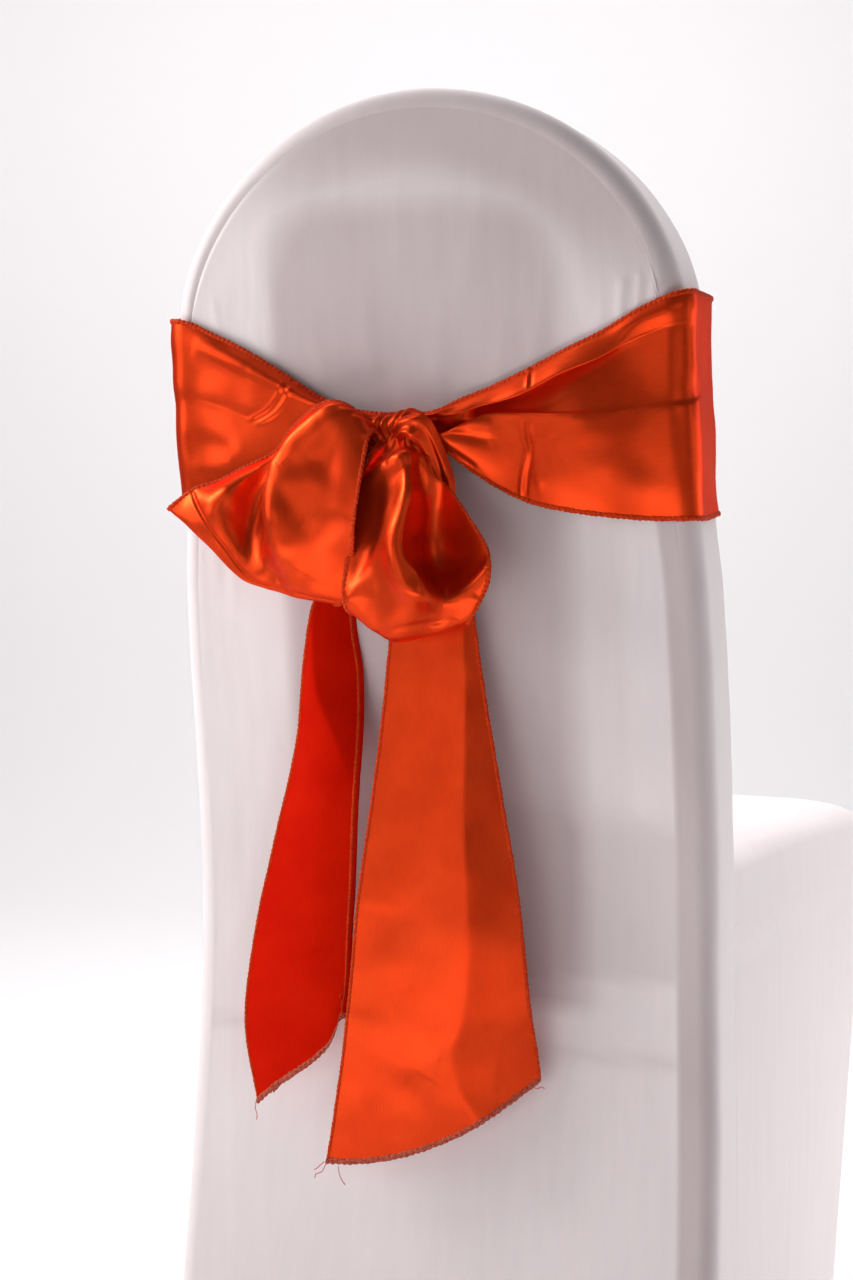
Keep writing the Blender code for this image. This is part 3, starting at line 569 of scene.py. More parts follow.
def seat(material):
    """Crowned seat: rings of its outline drawn in to the middle, rounded over at the edge.

    The climb from the edge to the crown is a superellipse of the ring: one less the ring to
    the power SEAT_EDGE_POWER, and then the root of that power.
    """
    side = np.linspace(0.0, 1.0, 48)
    share = np.concatenate([side, np.linspace(1.0, 2.0, 14)[1:], np.linspace(2.0, 3.0, 30)[1:]])
    edge = edge_height(share)
    across, forward = plan_half(edge, share)
    right = np.stack([across, forward, edge], axis=-1)
    left = right[-2::-1] * np.array([-1.0, 1.0, 1.0])
    rear_x = np.linspace(-1.0, 1.0, 44)[1:-1] * right[0, 0]
    rear_z = SEAT_REAR_Z - (SEAT_REAR_Z - edge[0]) * np.abs(rear_x / right[0, 0]) ** 12
    rear_y = lean(rear_z) + BACK_DEPTH + 0.0006
    outline = np.concatenate([right, left, np.stack([rear_x, rear_y, rear_z], axis=-1)])
    outline = np.concatenate([outline, outline[:1]])
    centre = np.array([0.0, 0.28])
    ring = np.concatenate([[0.003], np.linspace(0.0, 1.0, 36)[1:] ** 0.5])[:, None]
    plan = centre + ring[..., None] * (outline[None, :, :2] - centre)
    low = outline[None, :, 2]
    drop = np.clip(1.0 - ring**SEAT_EDGE_POWER, 0.0, 1.0) ** (1.0 / SEAT_EDGE_POWER)
    height = low + (SEAT_CROWN_Z - low) * drop
    grid = np.concatenate([plan, height[..., None]], axis=-1)
    run = np.cumsum(np.linalg.norm(np.diff(outline, axis=0, prepend=outline[:1]), axis=-1))[None, :]
    distance = np.linalg.norm(grid - outline[None], axis=-1)
    out = seam_relief(distance, run + 0.0 * distance, 21)
    out = out + slack(grid, 24, 0.0007, 0.16, 0.05, distance)
    grid = grid + normals(grid) * out[..., None]
    return add_sheet("cover_seat", grid, material, COVER_THICK)


# ---------------------------------------------------------------- sash: shapes
def placed(grid):
    """From across, stand-off and height in mm to metres, the stand-off from the leaning rear."""
    grid = np.asarray(grid) * MM
    return np.stack([grid[..., 0], lean(grid[..., 2]) - grid[..., 1], grid[..., 2]], axis=-1)


# The band round the back. Place and across name a spot on the girth, the sign being the side.
# Columns: place, across, then heights of the top, roll foot, ridge and bottom, then stand-offs
# of the top edge, roll, slope, hollow, ridge, belly and bottom edge, all mm
BAND = (
    ("knot", 0, 780, 776, 771, 764, 10, 12, 12, 11, 18, 17, 14),
    ("rear", 24, 784, 776, 767, 756, 8, 16, 12, 7, 20.5, 19, 15),
    ("rear", 36, 790, 778, 772, 746, 5, 16, 6, 2, 17, 15, 11),
    ("rear", 50, 795, 782, 777, 736, 3, 13, 2, 8, 12.5, 11, 8),
    ("rear", 81, 807, 789, 778, 720, 2, 13, 1.5, 7, 10, 8, 6),
    ("rear", 110, 820, 802, 777, 713.5, 1.5, 12, 1.0, 10, 14, 12.5, 9.5),
    ("rear", 140, 833, 813, 776, 709.5, 1, 9, 1.0, 9, 12, 10, 7),
    ("rear", 164, 846, 824, 778, 707.5, 0.6, 6, 1.5, 5, 6, 5, 1.5),
    ("side", 4, 857, 831, 781, 707.5, 0.4, 2.5, 1, 0.3, 2.5, 2.5, 0.5),
    ("side", 24, 857, 830, 788, 708, 0.4, 1.4, 0.8, 0.5, 1.2, 1.2, 0.4),
    ("side", 50, 857, 826, 788, 711, 0.4, 0.6, 0.4, 0.4, 0.6, 0.5, 0.4),
    ("front", 150, 860, 826, 788, 713, 0.4, 0.8, 0.5, 0.5, 0.7, 0.6, 0.4),
    ("front", 75, 864, 826, 788, 713, 0.4, 0.6, 1.0, 0.6, 0.5, 0.8, 0.4),
    ("front", 0, 862, 826, 788, 712, 0.4, 0.8, 0.5, 0.5, 0.8, 0.5, 0.4),
    ("front", -75, 862, 824, 786, 711, 0.4, 0.5, 0.8, 0.5, 0.8, 0.6, 0.4),
    ("front", -150, 860, 822, 784, 709, 0.4, 0.8, 0.5, 0.5, 0.7, 0.6, 0.4),
    ("side", -50, 858, 820, 782, 709, 0.4, 0.6, 0.4, 0.4, 0.6, 0.5, 0.4),
    ("side", -10, 854, 818, 790, 712, 0.4, 2.0, 1.8, 1.7, 1.8, 1.8, 0.4),
    ("rear", -176, 850, 822, 792, 713, 0.8, 3.5, 3.3, 3.2, 3.4, 3.2, 0.8),
    ("rear", -156, 841, 815, 788, 714, 1, 6, 5.8, 5.7, 6, 5.5, 3),
    ("rear", -130, 829, 804, 779, 716, 1.5, 9, 8.6, 8.4, 8.8, 8.5, 5),
    ("rear", -100, 812, 793, 773, 724, 2, 12, 11.6, 11.2, 11.4, 11, 7),
    ("rear", -74, 796, 785, 771, 738, 3, 13, 12.6, 12, 12, 12, 9),
    ("rear", -50, 786, 780, 770, 750, 5, 11, 10, 9, 10, 10, 5),
    ("rear", -24, 782, 777, 770, 759, 8, 12, 12, 10, 11, 11, 8),
)
BAND_CLEAR = 0.0024
# Courses of the two pinched creases, one each side of the knot
RIGHT_PINCH = ((84, 775), (83, 763), (85, 753), (80, 738), (77, 722))
LEFT_PINCH = ((-86, 808), (-90, 800), (-95, 791), (-105, 782), (-120, 776))
# Height of the crease, its width on the left and on the right of the way it runs, and the
# places along the girth and heights it runs through, mm
BAND_CREASES = (
    # gathers that fan out of the knot, and the long trough under the ridge
    (-1.2, 2.6, 3.4, ((16, 774), (32, 767), (62, 761))),
    (-1.1, 2.6, 3.4, ((15, 768), (26, 759), (48, 742))),
    (0.7, 2.6, 3.4, ((17, 778), (62, 772))),
    (0.8, 9, 14, ((112, 767), (155, 771), (200, 780))),
    # tuck in the roll
    (1.0, 1.4, 1.4, ((86, 811), (88, 796))),
    (-0.9, 1.6, 1.6, ((88, 810), (90, 796))),
    # pinched creases, each a ridge and a trough side by side
    (0.9, 1.4, 2.0, RIGHT_PINCH),
    (-0.7, 1.8, 1.8, beside(RIGHT_PINCH, 3, 0)),
    (0.7, 1.5, 1.5, LEFT_PINCH),
    (-0.5, 1.7, 1.7, beside(LEFT_PINCH, -4, 2)),
    (0.45, 1.5, 1.5, beside(LEFT_PINCH, -7, 3)),
    # soft dents and swells
    (-0.6, 4, 4, ((102, 764), (110, 744))),
    (0.7, 4, 5, ((94, 771), (91, 750), (93, 728))),
    (-0.6, 12, 14, ((-198, 795), (-145, 783), (-89, 759))),
    (0.6, 12, 10, ((-205, 808), (-145, 796), (-88, 772))),
    (1.2, 9, 9, ((-180, 745), (-156, 748), (-132, 757))),
    (-0.8, 8, 8, ((-179, 767), (-143, 757))),
    (0.8, 7, 7, ((-174, 833), (-124, 816))),
)

# Loops: a row for each section from the knot out to the turn and back behind to the knot.
# Each entry is (across, stand-off, height) in mm; columns run from one serged edge to the other.
# Columns: outer edge, first ridge, valley, second ridge, face, inner rim
LEFT_LOOP = (
    ((-22, 22, 777), (-21, 26, 775), (-20, 29, 773), (-19, 30, 770), (-18, 28, 768), (-18, 24, 766)),
    ((-54, 28, 788), (-52, 32, 786), (-50, 36, 784), (-42, 44, 785), (-31, 48, 777), (-17, 47, 763)),
    ((-83, 24, 775), (-85, 30, 764), (-86, 30, 755), (-81, 52, 756), (-44, 56, 742), (-21, 62, 721)),
    ((-117, 22, 752), (-119, 36, 738), (-109, 30, 730), (-89, 57, 736), (-51, 60, 715), (-25, 63, 701)),
    ((-149, 24, 736), (-135, 42, 726), (-119, 34, 702), (-88, 64, 708), (-58, 58, 688), (-33, 50, 681)),
    ((-168, 28, 730), (-150, 42, 709), (-120, 42, 681), (-86, 61, 681), (-62, 54, 667), (-39, 46, 662)),
    ((-185, 31, 718), (-161, 36, 699), (-128, 39, 669), (-89, 47, 657), (-66, 46, 653), (-47, 43, 650)),
    ((-182, 22, 722), (-160, 25, 705), (-131, 27, 677), (-97, 29, 666), (-78, 31, 661), (-59, 34, 657)),
    ((-135, 14, 744), (-124, 14, 730), (-109, 16, 716), (-89, 17, 709), (-75, 19, 705), (-57, 22, 702)),
    ((-62, 15, 781), (-58, 15, 774), (-53, 15, 769), (-47, 16, 765), (-41, 17, 762), (-33, 18, 758)),
    ((-22, 14, 777), (-22, 14, 774), (-21, 14, 771), (-20, 15, 768), (-19, 16, 765), (-18, 17, 762)),
)
# Height, width left and right, and the across and height of the places it runs through, mm
LEFT_LOOP_CREASES = (
    # swell along the outer fold, hollow beside it, and the ridge from the knot round the hollow
    (1.6, 9, 9, ((-167, 738), (-142, 714), (-123, 680))),
    (-6, 18, 12, ((-98, 770), (-105, 745), (-109, 714), (-104, 684), (-93, 660))),
    (3.0, 14, 9, ((-44, 786), (-82, 765), (-96, 737), (-92, 705), (-89, 690), (-79, 681))),
    # short fold at the foot of the ridge, and the swell across the face
    (1.5, 6, 5, ((-106, 695), (-101, 680), (-84, 675))),
    (1.2, 20, 34, ((-79, 743), (-66, 731), (-40, 727), (2, 726))),
    # folds that fan out of the knot
    (1.2, 4, 4, ((-29, 785), (-23, 775), (-20, 764))),
    (1.6, 9, 12, ((-43, 784), (-54, 767), (-71, 752))),
    # tuck just inside the lower edge
    (-1.6, 1.6, 1.6, ((-169, 734), (-144, 700), (-120, 669), (-100, 660), (-76, 656),
                       (-44, 651))),
)
# Columns: outer edge, face, ridge, valley, rim
RIGHT_LOOP = (
    ((-14, 24, 768), (-7, 28, 768), (0, 31, 768), (6, 29, 767), (10, 25, 766)),
    ((-24, 34, 752), (-9, 41, 754), (8, 48, 752), (13, 38, 747), (22, 34, 742)),
    ((-34, 46, 715), (-12, 50, 718), (17, 66, 721), (17, 34, 713), (46, 40, 716)),
    ((-38, 52, 681), (-17, 56, 681), (14, 74, 691), (18, 36, 682), (64, 44, 689)),
    ((-40, 56, 659), (-13, 62, 654), (26, 77, 665), (34, 52, 662), (68, 52, 669)),
    ((-39, 50, 646), (-20, 55, 634), (1, 57, 627), (27, 54, 633), (50, 50, 641)),
    ((-42, 33, 651), (-23, 33, 641), (-3, 34, 637), (21, 33, 642), (44, 32, 650)),
    ((-38, 23, 688), (-20, 20, 686), (-4, 19, 686), (18, 19, 689), (40, 21, 695)),
    ((-17, 16, 760), (-9, 15, 761), (-2, 14, 762), (6, 15, 761), (13, 16, 760)),
)
RIGHT_LOOP_CREASES = (
    # the lip: out of the knot, over, down inside and round under the opening
    (5.0, 6, 9, ((-30, 731), (-13, 741), (3, 748), (12, 749), (17, 745), (18, 734), (13, 713),
                 (9, 692), (14, 669), (24, 660), (35, 655), (47, 659), (59, 668), (70, 681),
                 (76, 695))),
    # the dark hollow, and the swells on each side of it
    (-5.0, 14, 16, ((26, 741), (24, 708), (27, 688), (36, 672))),
    (2.8, 9, 6, ((-3, 721), (-2, 705), (-9, 687), (-22, 667), (-39, 650))),
    (1.6, 16, 12, ((37, 754), (53, 718), (68, 681))),
    # tuck along the lower edge, and the fold at the lower corner
    (-1, 2.0, 2.0, ((-22, 630), (34, 641))),
    (1.6, 5.0, 5.0, ((42, 623), (59, 659))),
    (-1.0, 4, 4, ((34, 621), (42, 643))),
    # short gathers at the knot
    (1.0, 2.5, 2.5, ((10, 757), (7, 745))),
    (-1.0, 2.5, 2.5, ((2, 756), (-4, 744))),
)

# Tails: left edge across and height, right edge across and height, world stand-off, all mm,
# and how far the middle bows forward of the line between the two edges.
TAIL_RIGHT = (
    (-9, 764, 9, 764, -27, 0),
    (-14, 715, 24, 715, -20, 1),
    (-19, 655, 38, 657, -19, 1),
    (-26, 585, 48, 588, -18, 1),
    (-36, 511, 60, 515, -19, 1),
    (-47, 438, 71, 447, -19, 2),
    (-56, 358, 77, 376, -17, 2),
    (-66, 297, 79, 347, -13, 2),
    (-76, 249, 81, 320, -9, 1),
)
# The same, then how far the folded-back part returns behind the right edge, mm
TAIL_LEFT = (
    (-16, 764, -10, 764, -28, 0, 5),
    (-50, 715, -30, 712, -22, 1, 16),
    (-80, 655, -57, 652, -18, 2, 22),
    (-89, 610, -54, 600, -17, 3, 33),
    (-96, 552, -50, 545, -16, 4, 42),
    (-115, 478, -53, 480, -14, 5, 54),
    (-132, 409, -57, 425, -12, 5, 62),
    (-140, 345, -60, 385, -11, 4, 64),
    (-130, 287, -64, 358, -10, 3, 56),
)
# Height, across and share by which the cloth right of that line falls back
RIGHT_TAIL_FOLD = ((680, 33, 0.26), (645, 34, 0.40), (600, 35, 0.38), (500, 35, 0.34),
                   (405, 38, 0.34), (365, 33, 0.35), (335, 25, 0.34), (315, 28, 0.33),
                   (288, 43, 0.30), (256, 61, 0.25))
LEFT_TAIL_FOLD = ((680, -82, 0.20), (650, -82, 0.55), (615, -81, 0.60), (590, -78, 0.60),
                  (550, -61, 0.45), (520, -52, 0.25), (475, -46, 0.05), (295, -30, 0.00))
# Share across, and mm that the cut end hangs below the straight line between its corners
RIGHT_TAIL_END = ((0.0, 0.0), (0.12, 7.0), (0.30, 14.0), (0.52, 17.0), (0.76, 13.0), (0.90, 6.0),
                  (1.0, 0.0))
LEFT_TAIL_END = ((0.0, 0.0), (0.25, 4.0), (0.50, 10.0), (0.76, 15.0), (0.90, 14.0), (0.97, 8.0),
                 (1.0, 3.0))
# Height, width left and right, and the across and height of the places it runs through, mm
RIGHT_TAIL_CREASES = (
    (0.6, 9, 8, ((-44, 600), (5, 610), (53, 608))),
    (-0.4, 14, 14, ((-60, 551), (0, 548), (60, 556))),
    (1.4, 18, 24, ((41, 482), (34, 413), (16, 335))),
    (-0.6, 16, 16, ((-32, 443), (-45, 357))),
    (1.0, 20, 14, ((-60, 363), (-36, 342), (0, 323))),
    (-0.8, 12, 12, ((-14, 317), (8, 292), (16, 264))),
)
LEFT_TAIL_CREASES = (
    (-1.0, 10, 12, ((-95, 581), (-112, 437))),
    (1.2, 14, 14, ((-69, 540), (-76, 470), (-80, 368))),
    (0.8, 12, 12, ((-109, 329), (-85, 339), (-64, 362))),
)
TAIL_RETURN_GAP = 6.0
SHORT_TAIL_COLUMNS = 56

KNOT_CENTRE = (-9.0, 18.0, 767.0)
KNOT_HALF = (27.0, 15.0, 17.0)
# Fold that comes over the right of the knot and falls behind the right loop:
# (across, stand-off, height) in mm, columns from its left edge to its right edge
KNOT_FOLD = (
    ((-6, 26, 757), (-7, 30, 760), (-8, 28, 764), (-9, 30, 767), (-9, 26, 770)),
    ((6, 42, 763), (5, 45, 766), (4, 42, 769), (3, 42, 773), (2, 38, 776)),
    ((13, 46, 761), (14, 48, 765), (14, 45, 770), (15, 45, 775), (16, 40, 779)),
    ((15, 38, 756), (17, 41, 760), (20, 39, 765), (22, 40, 770), (24, 36, 774)),
    ((17, 28, 746), (19, 32, 748), (23, 30, 751), (26, 32, 754), (29, 28, 756)),
    ((19, 22, 731), (22, 25, 732), (25, 23, 733), (29, 24, 735), (32, 20, 736)),
    ((18, 16, 716), (21, 19, 717), (24, 17, 718), (27, 18, 720), (30, 14, 720)),
)


def girth_point(run, height, off):
    """Point round the back: flat rear, rounded corner, flat side, rounded corner, flat front."""
    radius = EDGE_ROUND + off
    flat_x = half_width(height) - EDGE_ROUND
    flat_y = BACK_DEPTH - 2.0 * EDGE_ROUND
    nominal = ARCH_HALF_WIDTH - EDGE_ROUND
    arc = 2.0 * EDGE_ROUND
    side = np.where(run < 0.0, -1.0, 1.0)
    run = np.abs(run)
    rear = np.clip(run / nominal, 0.0, 1.0)
    first = np.clip((run - nominal) / arc, 0.0, 1.0) * np.pi / 2
    along = np.clip((run - nominal - arc) / flat_y, 0.0, 1.0)
    second = np.clip((run - nominal - arc - flat_y) / arc, 0.0, 1.0) * np.pi / 2
    front = np.clip((run - nominal - 2.0 * arc - flat_y) / nominal, 0.0, 1.0)
    turn = first + second
    across = flat_x * (rear - front) + radius * np.sin(turn)
    forward = EDGE_ROUND + flat_y * along - radius * np.cos(turn)
    return np.stack([side * across, lean(height) + forward, height], axis=-1)


def band_grid(along_count, across_count):
    """The ring of cloth: lines of the table carried round the back, smooth both ways.

    Height and stand-off of ten lines are splines of the girth, and the cloth is a smooth
    curve through the ten. Rows lie closest together at the knot: the run round the back is
    the even turn less a quarter of its sine over pi.
    """
    total = 4.0 * ARCH_HALF_WIDTH + 2.0 * BACK_DEPTH
    place = []
    for kind, at in [(row[0], row[1] * MM) for row in BAND]:
        if kind == "side":
            at = np.sign(at) * (ARCH_HALF_WIDTH + abs(at))
        elif kind == "front":
            at = np.sign(at or 1) * (2 * ARCH_HALF_WIDTH + BACK_DEPTH - abs(at))
        place.append(at + total if at < 0 else at)
    order = np.argsort(place)
    place = np.array(place)[order]
    sizes = np.array([BAND[k][2:] for k in order], dtype=float) * MM
    place = np.concatenate([place - total, place, place + total])
    sizes = np.vstack([sizes, sizes, sizes])
    top, foot, ridge, bottom = sizes[:, :4].T
    edge, roll, slope, hollow, crest, belly, hem_off = sizes[:, 4:].T
    pocket = smooth(crest - hollow, 0.002, 0.008)
    under = smooth(roll - slope, 0.003, 0.009)
    drop, gap, rise = ridge - bottom, foot - ridge, top - foot
    # ten lines from the bottom edge up: the belly, the crest of the ridge, the hollow over it,
    # the slope up to the roll, the roll and the top edge
    heights = np.stack([bottom, bottom + 0.32 * drop, bottom + 0.74 * drop,
                        ridge - 0.0015 * pocket, ridge + 0.16 * gap * (1.0 - pocket)
                        - 0.0030 * pocket, ridge + 0.50 * gap, foot + 0.005 * under,
                        foot + 0.22 * rise * (1.0 - under) + 0.001 * under,
                        foot + 0.60 * rise, top], axis=1)
    offs = np.stack([hem_off, belly, 0.5 * (belly + crest) + 0.001, crest, hollow,
                     0.5 * (hollow + slope), slope,
                     slope + (0.4 + 0.6 * under) * (roll - slope),
                     roll + 0.45 * under * (edge - roll), edge], axis=1)
    turn = np.linspace(0.0, 1.0, along_count, endpoint=False)
    run = total * (turn - 0.5 * np.sin(2 * np.pi * turn) / (2 * np.pi))
    lines = np.stack([heights, offs], axis=-1)
    keys = [np.stack([place, lines[:, a, b]], axis=1) for a in range(10) for b in range(2)]
    at = np.stack([spline(run, key) for key in keys], axis=-1).reshape(len(run), 10, 2)
    fine = np.moveaxis(hermite(np.moveaxis(at, 1, 0), np.linspace(0, 9, across_count)), 0, 1)
    height, off = fine[..., 0], fine[..., 1]
    signed = np.where(run > total / 2, run - total, run)[:, None] + 0.0 * height
    off = off + MM * strokes(signed / MM, height / MM, BAND_CREASES)
    off = off + 0.00035 * wander(np.stack([signed, height], axis=-1), 31, 0.07, 0.02)
    inner = np.minimum(np.abs(signed), total / 2 - np.abs(signed))
    off = np.maximum(off, 0.0) + BAND_CLEAR + CROWN * (1.0 - smooth(inner, 0.12, 0.17))
    return girth_point(signed, height, off)


def loop_grid(table, creased, turn, gather, rows, columns, seed):
    """Loop of the bow: its table made fine, then its folds drawn on the front of it.

    The folds and a fan of pleats stand off along the grid's own normals. The pleats are a sine
    across the loop, which dies out from the knot as a bell and comes back behind the turn.
    turn is the row where the cloth turns back; gather holds the folds that fan out of the
    knot: how many, and how deep in mm at the knot in front and behind.
    """
    table = np.asarray(table, dtype=float)
    grid = fine_grid(table, rows, columns)
    row = np.linspace(0, table.shape[0] - 1, rows)[:, None]
    column = np.linspace(0, 1, columns)[None, :]
    front = 1.0 - smooth(row, turn - 0.6, turn + 0.3)
    ends = smooth(row, 0.0, 0.8)
    edge = smooth(np.minimum(column, 1.0 - column), 0.0, 0.08)
    out = strokes(grid[..., 0], grid[..., 2], creased) * front * ends
    count, deep_front, deep_back = gather
    swing = 2 * np.pi * count * (column + 0.04 * np.sin(7.0 * column + seed))
    near = np.exp(-((row / 0.75) ** 2)) * (0.3 + 0.7 * smooth(row, 0.0, 0.4))
    behind = smooth(row, turn + 0.2, turn + 1.2)
    pleats = deep_front * near + deep_back * behind
    out = out + pleats * np.sin(swing + 0.5 * np.sin(3.0 * row)) * edge
    out = out + 0.6 * wander(grid * MM, seed, 0.05, 0.015) * (0.4 + 0.6 * edge) * ends
    grid = placed(grid)
    return grid + normals(grid) * (MM * out)[..., None] * facing(grid, turn / (len(table) - 1))


def facing(grid, share):
    """1 where the grid's normals on its first rows point to the rear, -1 where forward."""
    first = normals(grid)[: max(int(share * 0.7 * len(grid)), 2), :, 1].mean()
    return 1.0 if first < 0.0 else -1.0


def tail_grid(table, fold, end, creased, gather, rows, columns, returns, seed):
    """Hanging tail: straight between its two edges, bowed forward, its end cut on a curve.

    fold is the line where its right part turns back: height, across and the share by which
    it falls back, rounded at the line as a hyperbola. end holds how far below the line between
    its corners the cut hangs. gather is how many folds fan out of the knot and how deep they
    are there, in mm.
    """
    table = np.asarray(table, dtype=float)
    fine = hermite(table, np.linspace(0, len(table) - 1, rows))
    row = np.linspace(0, len(table) - 1, rows)[:, None]
    share = np.linspace(0.0, 1.0, columns)[None, :]
    left_x, left_z, right_x, right_z, stand, bow = (fine[:, k, None] for k in range(6))
    across = left_x + (right_x - left_x) * share
    sag = spline(share, end) * smooth(row, len(table) - 4.5, len(table) - 1)
    height = left_z + (right_z - left_z) * share - sag
    past = across - spline(-height, [(-z, x, s) for z, x, s in fold])
    slope = spline(-height, [(-z, x, s) for z, x, s in fold], 2)
    relief = strokes(across, height, creased)
    relief = relief - slope * (np.hypot(past, 2.0) + past) / 2.0
    count, deep = gather
    pleat = np.sin(2 * np.pi * count * share + 0.7 * np.sin(5.0 * share + seed))
    relief = relief + deep * pleat * (1.0 - smooth(row, 1.1, 2.3))
    relief = relief + 0.5 * wander(np.stack([across, height], axis=-1) * MM, seed, 0.10, 0.03)
    forward = stand - bow * 4.0 * share * (1.0 - share) - relief * smooth(row, 0.0, 0.6)
    grid = np.stack([across, forward, height], axis=-1)
    if returns:
        back = fine[:, 6, None]
        radius = TAIL_RETURN_GAP / 2.0
        angle = np.linspace(0.0, np.pi, 9)[None, 1:-1]
        edge = forward[:, -1:]
        turn = np.stack([right_x + radius * np.sin(angle) + 0.0 * back,
                         edge + radius * (1.0 - np.cos(angle)), height[:, -1:] + 0.0 * angle],
                        axis=-1)
        turned = np.linspace(0.0, 1.0, 24)[None, :]
        tilt = (left_z - right_z) / np.maximum(right_x - left_x, 1.0)
        fold_back = np.stack([right_x - back * turned,
                              edge + 2.0 * radius + 1.2 * np.sin(9 * turned) * turned,
                              height[:, -1:] + tilt * back * turned], axis=-1)
        grid = np.concatenate([grid, turn, fold_back], axis=1)
    return grid * MM


def knot_grid(along_count, round_count):
    """Wrap of the knot: a short roll lying across, drawn into deep, narrow, uneven pleats.

    Its girth is round in the middle and closes at the ends as a power curve. The pleats are
    the size of a sine along the roll, swayed by other sines, with a finer sine on top.
    """
    across = np.linspace(-1.0, 1.0, along_count)[None, :]
    angle = np.linspace(0.0, 2 * np.pi, round_count, endpoint=False)[:, None]
    girth = (1.0 - np.abs(across) ** 3.0 * 0.97) ** (1.0 / 2.2)
    sway = across + 0.05 * np.sin(2.0 * angle + 1.0) + 0.03 * np.sin(5.0 * angle)
    pleat = np.abs(np.sin(8.0 * sway + 1.6 * np.sin(4.3 * sway) + 0.5 * np.sin(2.0 * angle + 0.6)))
    fine = np.sin(29.0 * sway + 2.2 * np.sin(2.0 * angle) + 1.5 * np.sin(3.1 * sway))
    wrap = 1.0 - 0.16 * (1.0 - smooth(across, -0.1, 0.35))
    girth = girth * wrap * (0.88 + 0.15 * pleat ** 0.8 + 0.024 * fine)
    x = KNOT_CENTRE[0] + KNOT_HALF[0] * across + 0.0 * angle
    off = KNOT_CENTRE[1] + KNOT_HALF[1] * girth * np.cos(angle)
    z = KNOT_CENTRE[2] + KNOT_HALF[2] * girth * np.sin(angle)
    return placed(np.stack([x, off, z], axis=-1))[::-1]


# ---------------------------------------------------------------- sash: serged edges
def serging(name, line, inward, face, width, thick, stitch, material):
    """Overlocked edge: an oval carried along the edge, swelling with each slanting stitch.

    The oval's long half runs into the cloth and its short half across it; both grow and
    shrink as one plus a fifth of a cosine of the run, shifted round the oval for the slant.
    """
    step = np.linalg.norm(np.diff(line, axis=0), axis=1)
    run = np.concatenate([[0.0], np.cumsum(step)])
    count = max(int(run[-1] / (stitch / 6.0)), 8)
    at = np.linspace(0.0, run[-1], count)

    def read(values):
        """Values read at even steps along the edge."""
        return np.stack([np.interp(at, run, values[:, k]) for k in range(3)], axis=1)

    line, inward, face = read(line), read(inward), read(face)
    inward /= np.maximum(np.linalg.norm(inward, axis=1)[:, None], 1e-9)
    face /= np.maximum(np.linalg.norm(face, axis=1)[:, None], 1e-9)
    angle = np.linspace(0.0, 2 * np.pi, 6, endpoint=False)[None, :]
    swell_by = 1.0 + 0.34 * np.cos(2 * np.pi * at[:, None] / stitch + 1.6 * np.cos(angle))
    jitter = 1.0 + 0.08 * np.sin(at * 411.0) + 0.06 * np.sin(at * 1270.0 + 1.0)
    long_half = 0.5 * width * (jitter[:, None] * (0.35 * swell_by + 0.65))
    middle = line + inward * (0.38 * width)
    points = (middle[:, None] + inward[:, None] * (long_half * np.cos(angle))[..., None]
              + face[:, None] * (thick * swell_by * np.sin(angle))[..., None])
    points = np.concatenate([points, points[:, :1]], axis=1)
    return add_mesh(name, points.reshape(-1, 3), grid_faces(*points.shape[:2]), material)


def edge_serging(name, grid, side, material, width=0.0036, thick=0.0009, stitch=0.0036,
                 rows=slice(None)):
    """Serging along a grid: its first or last column, its last row, or a column by number."""
    face = normals(grid)
    if side == "first":
        line, inner, face = grid[rows, 0], grid[rows, 2], face[rows, 0]
    elif side == "last":
        line, inner, face = grid[rows, -1], grid[rows, -3], face[rows, -1]
    elif side == "end":
        line, inner, face = grid[-1, rows], grid[-3, rows], face[-1, rows]
    else:
        line, inner, face = grid[rows, side], grid[rows, side - 2], face[rows, side]
    return serging(name, line, inner - line, face, width, thick, stitch, material)


def thread(name, points, radius, material):
    """Loose thread end: a thin round tube along a smooth curve through a few points, mm."""
    line = placed(hermite(np.array(points, dtype=float), np.linspace(0, len(points) - 1, 24)))
    way = np.gradient(line, axis=0)
    way /= np.linalg.norm(way, axis=1)[:, None]
    side = np.cross(way, [0.0, 1.0, 0.0])
    side /= np.linalg.norm(side, axis=1)[:, None]
    up = np.cross(side, way)
    angle = np.linspace(0.0, 2 * np.pi, 7)[None, :, None]
    tube = line[:, None] + radius * (side[:, None] * np.cos(angle) + up[:, None] * np.sin(angle))
    return add_mesh(name, tube.reshape(-1, 3), grid_faces(*tube.shape[:2]), material)


# ---------------------------------------------------------------- materials
def new_group(name, inputs, outputs):
    """Empty shader node group with float or vector inputs and float outputs."""
    group = bpy.data.node_groups.new(name, "ShaderNodeTree")
    for label, kind, value in inputs:
        socket = group.interface.new_socket(name=label, in_out="INPUT", socket_type=kind)
        if value is not None:
            socket.default_value = value
    for label in outputs:
        group.interface.new_socket(name=label, in_out="OUTPUT", socket_type="NodeSocketFloat")
    return group, group.nodes.new("NodeGroupInput"), group.nodes.new("NodeGroupOutput")


def math(tree, kind, first, second=None, third=None):
    """Math node of a kind, fed by sockets or plain numbers."""
    node = tree.nodes.new("ShaderNodeMath")
    node.operation = kind
    for socket, value in zip(node.inputs, (first, second, third)):
        if value is None:
            continue
        if isinstance(value, bpy.types.NodeSocket):
            tree.links.new(value, socket)
        else:
            socket.default_value = value
    return node.outputs[0]


def noise(tree, vector, scale, detail=3.0, stretch=(1.0, 1.0, 1.0)):
    """Noise over a vector, stretched first."""
    mapping = tree.nodes.new("ShaderNodeMapping")
    mapping.inputs["Scale"].default_value = stretch
    tree.links.new(vector, mapping.inputs["Vector"])
    node = tree.nodes.new("ShaderNodeTexNoise")
    node.inputs["Scale"].default_value = scale
    node.inputs["Detail"].default_value = detail
    tree.links.new(mapping.outputs[0], node.inputs["Vector"])
    return node.outputs["Fac"]


